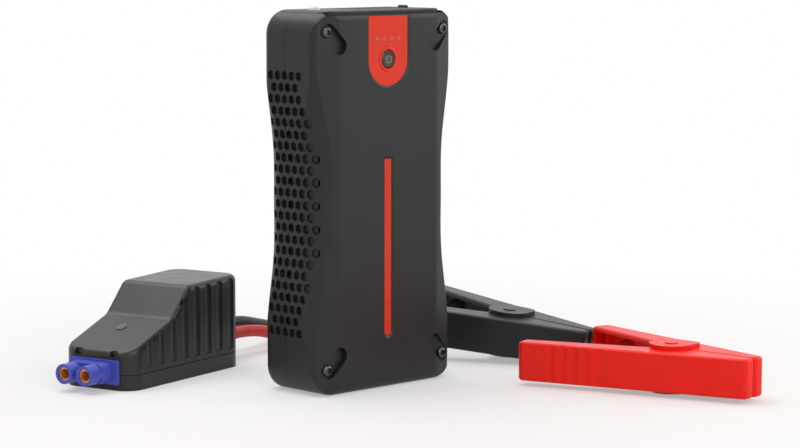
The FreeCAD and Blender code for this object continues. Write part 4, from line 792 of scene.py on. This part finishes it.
class JUMP_OT_panel(bpy.types.Operator):
    """Finish the control panel, its lights, the stripe and the power button with its sign"""

    bl_idname = "jump.panel"
    bl_label = "Control panel and button"

    def execute(self, context):
        settings = context.scene.jump_panel
        panel = moulded("panel_plastic", settings.panel_colour,
                        rough=0.38, grain=0.40, depth=0.012, change=0.04, shine=0.2)
        paint_nodes(panel, "control_panel", "button_ring")
        stripe = moulded("stripe_plastic", settings.stripe_colour,
                         rough=0.30, grain=0.5, depth=0.006, change=0.04, shine=0.2)
        paint_nodes(stripe, "accent_stripe")
        lights = lens("charge_light_plastic", (0.52, 0.10, 0.08), rough=0.22, clear=0.1)
        paint_nodes(lights, "charge_lights")
        paint_nodes(lens("button_plastic", settings.button_colour, rough=0.24, clear=0.25), "power_button")
        self.draw_sign(settings)
        return {"FINISHED"}

    def draw_sign(self, settings):
        """The open ring and bar of the power sign, laid on the button's face."""
        low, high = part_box("power_button")
        middle = (low + high) / 2
        radius = settings.symbol_wide / 2
        half_gap = math.radians(34.0)
        steps = 40
        points = []
        for at in range(steps + 1):
            turn = half_gap + at * (2 * math.pi - 2 * half_gap) / steps
            points.append(Vector((radius * math.sin(turn), 0, radius * math.cos(turn))))
        edges = [(at, at + 1) for at in range(steps)]
        # The bar's top, middle and foot, in radii above the ring's centre.
        bar = len(points)
        points += [Vector((0, 0, radius * height)) for height in (1.12, 0.55, 0.12)]
        edges += [(bar, bar + 1), (bar + 1, bar + 2)]
        face = face_tree(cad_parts["power_button"].data)
        before = low.y - 5 * MM
        placed = []
        for point in points:
            start = Vector((middle.x + point.x, before, middle.z + point.z))
            hit = face.ray_cast(start, Vector((0, 1, 0)))[0]
            placed.append(hit if hit else Vector((start.x, low.y, start.z)))
        finish = moulded("sign_paint", (0.30, 0.27, 0.25), rough=0.40, grain=0.2, depth=0.004, change=0.05)
        sign = draw_wire("power_sign", placed, edges, settings.line_wide, sides=8, finish=finish)
        stand_for(sign, "button", "button")


def screw_head(settings):
    """A rounded screw head facing -Y with a six-lobed recess, on its shank, its underside at the origin."""
    steps = 48
    half = settings.head_wide / 2
    tall = settings.head_tall
    shank = settings.shank_wide / 2
    lobe = 0.30 * settings.head_wide

    def star(turn):
        return lobe * (0.86 + 0.14 * math.cos(6 * turn))

    # From the recess over the dome to the shank: how far out each ring is at a turn, and how far along Y.
    rings = [(lambda turn: star(turn) * 0.35, -tall * 0.35), (star, -tall * 0.40), (star, -tall * 0.97)]
    for share, height in ((0.74, 0.90), (0.88, 0.72), (0.97, 0.42), (1.0, 0.12), (0.98, 0.0)):
        rings.append((lambda turn, share=share: half * share, -tall * height))
    rings += [(lambda turn: shank, 0.0), (lambda turn: shank, settings.shank_long)]
    points = []
    for reach, along in rings:
        for at in range(steps):
            turn = 2 * math.pi * at / steps
            points.append(Vector((reach(turn) * math.cos(turn), along, reach(turn) * math.sin(turn))))
    faces = []
    for ring in range(len(rings) - 1):
        here, after = ring * steps, (ring + 1) * steps
        for at in range(steps):
            beside = (at + 1) % steps
            faces.append((here + at, after + at, after + beside, here + beside))
    faces.append(tuple(range(steps)))
    faces.append(tuple(reversed(range(len(points) - steps, len(points)))))
    head = new_piece("screw_head", points, faces)
    made = bmesh.new()
    made.from_mesh(head.data)
    bmesh.ops.recalc_face_normals(made, faces=made.faces)
    made.to_mesh(head.data)
    made.free()
    return head


class JUMP_OT_screws(bpy.types.Operator):
    """Put a turned screw at each corner of the pack and finish those of the control box"""

    bl_idname = "jump.screws"
    bl_label = "Screws"

    def execute(self, context):
        settings = context.scene.jump_screw
        finish = metal("screw_zinc", (0.085, 0.085, 0.088), rough=0.26, stretch=(1.0, 1.0, 1.0), depth=0.006)
        low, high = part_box("housing_screws")
        # The CAD heads that set the places are a tenth of a millimetre wider.
        inset = settings.head_wide / 2 + 0.05 * MM
        across = (high.x - low.x) / 2 - inset
        seat = low.y + settings.head_tall
        heights = (low.z + inset, high.z - inset)
        spots = [(side * across, seat, height) for side in (-1, 1) for height in heights]
        head = screw_head(settings)
        screws = new_piece("corner_screws", spots)
        run_group(screws, scatter_group(), Piece=head, Axis=(0.0, 1.0, 0.0), Seed=settings.seed,
                  Finish=finish)
        smooth(screws, 35.0)
        stand_for(screws, "root", "screw_steel", "housing_screws")
        remove(head)
        paint_nodes(finish, "box_screws")
        return {"FINISHED"}


class JUMP_OT_box(bpy.types.Operator):
    """Finish the control box, its lens, its plug and the parts inside"""

    bl_idname = "jump.box"
    bl_label = "Control box and plug"

    def execute(self, context):
        settings = context.scene.jump_box
        housing = moulded("box_plastic", settings.box_colour,
                          rough=0.32, grain=0.40, depth=0.0012, change=0.05, shine=0.34)
        paint_nodes(housing, "box_upper_housing", "box_lower_cover")
        indicator = lens("box_lens_plastic", settings.lens_colour, rough=0.30, clear=0.1)
        paint_nodes(indicator, "box_indicator_lens")
        plug = moulded("plug_plastic", settings.plug_colour, rough=0.34, grain=0.5, depth=0.010, change=0.05)
        paint_nodes(plug, "plug_body")
        paint_nodes(metal("contact_brass", (0.94, 0.44, 0.10), rough=0.30, bare=0.55), "plug_contacts")
        paint_nodes(moulded("relay_plastic", (0.014, 0.020, 0.060), rough=0.35), "box_relay")
        paint_nodes(circuit("box_board_mask"), "box_board")
        return {"FINISHED"}


class JUMP_OT_inside(bpy.types.Operator):
    """Finish the cells, the tray and the boards inside the pack"""

    bl_idname = "jump.inside"
    bl_label = "Parts inside"

    def execute(self, context):
        paint_nodes(foil("cell_foil"), "battery_cell_1", "battery_cell_2", "battery_cell_3")
        paint_nodes(moulded("tray_plastic", (0.020, 0.020, 0.021), rough=0.55), "cell_tray")
        paint_nodes(circuit("board_mask"), "main_board", "button_board", "torch_board")
        resin = moulded("part_resin", (0.016, 0.016, 0.018), rough=0.48)
        paint_nodes(resin, "board_components", "tact_switch")
        return {"FINISHED"}


def spring_lines(settings):
    """The middle lines of a spring in its clamp's frame: the coil with its far leg, and the near leg."""
    slant = settings.leg_angle
    radius = settings.coil_round
    first = math.pi / 2 - slant
    sweep = 2 * math.pi * settings.coil_turns + 2 * first
    tall = settings.coil_pitch * sweep / (2 * math.pi)
    climb = settings.coil_pitch / (2 * math.pi * radius)
    steps = round(sweep / COIL_STEP)
    coil = []
    for at in range(steps + 1):
        turn = first - sweep * at / steps
        coil.append(Vector((radius * math.cos(turn), radius * math.sin(turn), tall * (at / steps - 0.5))))
    far_way = Vector((-math.cos(slant), math.sin(slant), -climb)).normalized()
    near_way = Vector((-math.cos(slant), -math.sin(slant), climb)).normalized()
    near_leg = coil[-LEG_WRAP:] + [coil[-1] + near_way * settings.leg_long]
    return [coil[0] + far_way * settings.leg_long] + coil, near_leg


def wind_spring(tone, settings, finish):
    """Two round wires for a clamp's spring: the near leg moves with its half, and the rest stays."""
    pivot, heading, raised = CLAMP_FRAMES[tone]
    place = (Matrix.Translation(Vector(pivot) * MM) @ Matrix.Rotation(math.radians(heading), 4, "Z")
             @ Matrix.Rotation(math.radians(raised), 4, "Y"))
    wires = []
    widths = {"wire": settings.wire_wide, "leg": settings.wire_wide * LEG_THIN}
    for line, (part, wide) in zip(spring_lines(settings), widths.items()):
        points = [place @ point for point in line]
        edges = [(at, at + 1) for at in range(len(points) - 1)]
        wires.append(draw_wire(f"{tone}_spring_{part}", points, edges, wide, sides=14, finish=finish))
    coil, leg = wires
    stand_for(coil, "root", "spring_steel", f"{tone}_clamp_spring")
    stand_for(leg, f"{tone}_near", "spring_steel")


class JUMP_OT_clamps(bpy.types.Operator):
    """Finish both clamps and wind their springs"""

    bl_idname = "jump.clamps"
    bl_label = "Clamps and springs"

    def execute(self, context):
        settings = context.scene.jump_clamp
        steel = metal("spring_steel", (0.86, 0.86, 0.87),
                      rough=0.20, stretch=(1.0, 1.0, 1.0), depth=0.003, bare=0.5)
        copper = metal("jaw_copper", (0.86, 0.46, 0.26), rough=0.30)
        for tone, colour in (("red", settings.red_colour), ("black", settings.black_colour)):
            skin = moulded(f"{tone}_clamp_plastic", colour,
                           rough=0.32, grain=0.6, depth=0.003, change=0.04, shine=0.20)
            for part in ("far_half", "near_half", "pivot"):
                paint_nodes(skin, f"{tone}_clamp_{part}")
            paint_nodes(copper, f"{tone}_clamp_far_plate", f"{tone}_clamp_near_plate")
            wind_spring(tone, settings, steel)
        return {"FINISHED"}


class JUMP_OT_leads(bpy.types.Operator):
    """Lay both leads along their routes, with their glands and boots"""

    bl_idname = "jump.leads"
    bl_label = "Leads"

    def execute(self, context):
        settings = context.scene.jump_lead
        for tone, route, colour, length in (("red", RED_ROUTE, settings.red_colour, RED_LONG),
                                            ("black", BLACK_ROUTE, settings.black_colour, BLACK_LONG)):
            curve = bpy.data.curves.new(f"{tone}_lead_jacket", "CURVE")
            curve.dimensions = "3D"
            spline = curve.splines.new("NURBS")
            spline.points.add(len(route) - 1)
            for point, place in zip(spline.points, route):
                point.co = (*place, 1.0)
            spline.order_u = 3
            spline.use_endpoint_u = True
            curve.resolution_u = 12
            curve.bevel_depth = settings.lead_wide / 2
            curve.bevel_resolution = 6
            curve.use_fill_caps = True
            lead = show(f"{tone}_lead_jacket", curve)
            curve.materials.append(rubber(f"{tone}_lead_rubber", colour, rough=0.42))
            stand_for(lead, "root", f"lead_{tone}", f"{tone}_lead")
            darker = tuple(part * 0.8 for part in colour)
            cuff = rubber(f"{tone}_cuff_rubber", darker, rough=0.55)
            paint_nodes(cuff, f"{tone}_gland", f"{tone}_lead_boot")
        return {"FINISHED"}


# Stage

def seen_ray(tree):
    """One for a ray from the camera, from a gloss or through a clear piece, and nought for any other."""
    path = add(tree, "ShaderNodeLightPath")
    mirrored = add(tree, "ShaderNodeMath", operation="MAXIMUM")
    join(tree, path, "Is Glossy Ray", mirrored, 0)
    join(tree, path, "Is Transmission Ray", mirrored, 1)
    seen = add(tree, "ShaderNodeMath", operation="MAXIMUM")
    join(tree, path, "Is Camera Ray", seen, 0)
    join(tree, mirrored, 0, seen, 1)
    return seen


def floor_paper(colour):
    """Pale matt paper that fades to white away from the object, for rays that see it."""
    finish, tree, shader, place = start_finish("floor_paper")
    shader.inputs["Roughness"].default_value = 0.75
    shader.inputs["Specular IOR Level"].default_value = 0.2
    tint(tree, shader, noise(tree, place, scale=3.0, detail=2.0), colour, 0.006)
    away = add(tree, "ShaderNodeVectorMath", operation="LENGTH")
    join(tree, place, "Object", away, 0)
    fade = spread(tree, away, "Value", *FADE_SHARE, *FADE)
    fade.interpolation_type = "SMOOTHSTEP"
    share = add(tree, "ShaderNodeMath", operation="MULTIPLY")
    join(tree, fade, "Result", share, 0)
    join(tree, seen_ray(tree), 0, share, 1)
    white = add(tree, "ShaderNodeEmission", Strength=1.0, Color=WHITE)
    blend = add(tree, "ShaderNodeMixShader")
    join(tree, share, 0, blend, 0)
    join(tree, shader, 0, blend, 1)
    join(tree, white, 0, blend, 2)
    out = next(node for node in tree.nodes if node.type == "OUTPUT_MATERIAL")
    join(tree, blend, 0, out, "Surface")
    return finish


def pale_room(strength):
    """A world that lights from all around at a strength and is white for rays that see it."""
    world = bpy.data.worlds.new("pale_room")
    world.use_nodes = True
    tree = world.node_tree
    tree.nodes.clear()
    out = add(tree, "ShaderNodeOutputWorld")
    back = add(tree, "ShaderNodeBackground", Color=WHITE)
    power = spread(tree, seen_ray(tree), 0, strength, 1.0, 0.0, 1.0)
    join(tree, power, "Result", back, "Strength")
    join(tree, back, "Background", out, "Surface")
    return world


def soft_light(name, place, aim, size, power):
    """A square soft light that looks at a point."""
    data = bpy.data.lights.new(name, "AREA")
    data.shape = "SQUARE"
    data.size = size
    data.energy = power
    turn = (Vector(aim) - Vector(place)).to_track_quat("-Z", "Y")
    lamp = show(name, data)
    lamp.matrix_world = Matrix.Translation(place) @ turn.to_matrix().to_4x4()


def set_camera():
    """The camera at the photograph's viewpoint."""
    data = bpy.data.cameras.new("viewpoint")
    data.sensor_width = SENSOR_WIDE
    data.lens = FOCAL_PIXELS * SENSOR_WIDE / PICTURE_PIXELS
    data.clip_start = 0.01
    data.clip_end = 60.0
    turn = math.radians(EYE_TURN)
    dip = math.radians(EYE_DIP)
    ahead = Vector((-math.sin(turn) * math.cos(dip), math.cos(turn) * math.cos(dip), -math.sin(dip)))
    right = Vector(EYE_LEVEL).normalized()
    right = (right - ahead * right.dot(ahead)).normalized()
    up = right.cross(ahead)
    eye = show("viewpoint", data)
    eye.matrix_world = Matrix.Translation(EYE_PLACE) @ Matrix((right, up, -ahead)).transposed().to_4x4()
    bpy.context.scene.camera = eye


class JUMP_OT_stage(bpy.types.Operator):
    """Set up the floor, the soft light and the camera"""

    bl_idname = "jump.stage"
    bl_label = "Stage"

    def execute(self, context):
        settings = context.scene.jump_stage
        corners = [(x * FLOOR_REACH, y * FLOOR_REACH, 0) for x, y in ((-1, -1), (1, -1), (1, 1), (-1, 1))]
        floor = new_piece("floor", corners, [(0, 1, 2, 3)])
        floor.data.materials.append(floor_paper(settings.floor_colour))
        context.scene.world = pale_room(settings.room_light)
        for name, (place, aim, size, power) in LIGHTS.items():
            soft_light(name, place, aim, size, getattr(settings, power))
        set_camera()
        context.scene.view_settings.view_transform = "Standard"
        return {"FINISHED"}


OPERATORS = (JUMP_OT_stage, JUMP_OT_leads, JUMP_OT_shells, JUMP_OT_top, JUMP_OT_panel, JUMP_OT_screws,
             JUMP_OT_box, JUMP_OT_inside, JUMP_OT_clamps)


class JUMP_PT_sidebar(bpy.types.Panel):
    """Lists each piece's button and the sizes and colours"""

    bl_idname = "JUMP_PT_sidebar"
    bl_label = "Jump starter"
    bl_space_type = "VIEW_3D"
    bl_region_type = "UI"
    bl_category = "Jump starter"

    def draw(self, context):
        for operator in OPERATORS:
            self.layout.operator(operator.bl_idname)
        for name in SETTINGS:
            group = getattr(context.scene, name)
            column = self.layout.column(align=True)
            for prop in group.bl_rna.properties:
                if prop.identifier not in ("rna_type", "name"):
                    column.prop(group, prop.identifier)


def register():
    for name, settings in SETTINGS.items():
        bpy.utils.register_class(settings)
        setattr(bpy.types.Scene, name, bpy.props.PointerProperty(type=settings))
    for operator in OPERATORS:
        bpy.utils.register_class(operator)
    bpy.utils.register_class(JUMP_PT_sidebar)


def unregister():
    bpy.utils.unregister_class(JUMP_PT_sidebar)
    for operator in reversed(OPERATORS):
        bpy.utils.unregister_class(operator)
    for name, settings in SETTINGS.items():
        delattr(bpy.types.Scene, name)
        bpy.utils.unregister_class(settings)


def main():
    """Make every piece and the stage."""
    register()
    for operator in OPERATORS:
        group, name = operator.bl_idname.split(".")
        result = getattr(getattr(bpy.ops, group), name)()
        if "FINISHED" not in result:
            raise RuntimeError(operator.bl_idname + " did not finish")


if __name__ == "__main__":
    main()
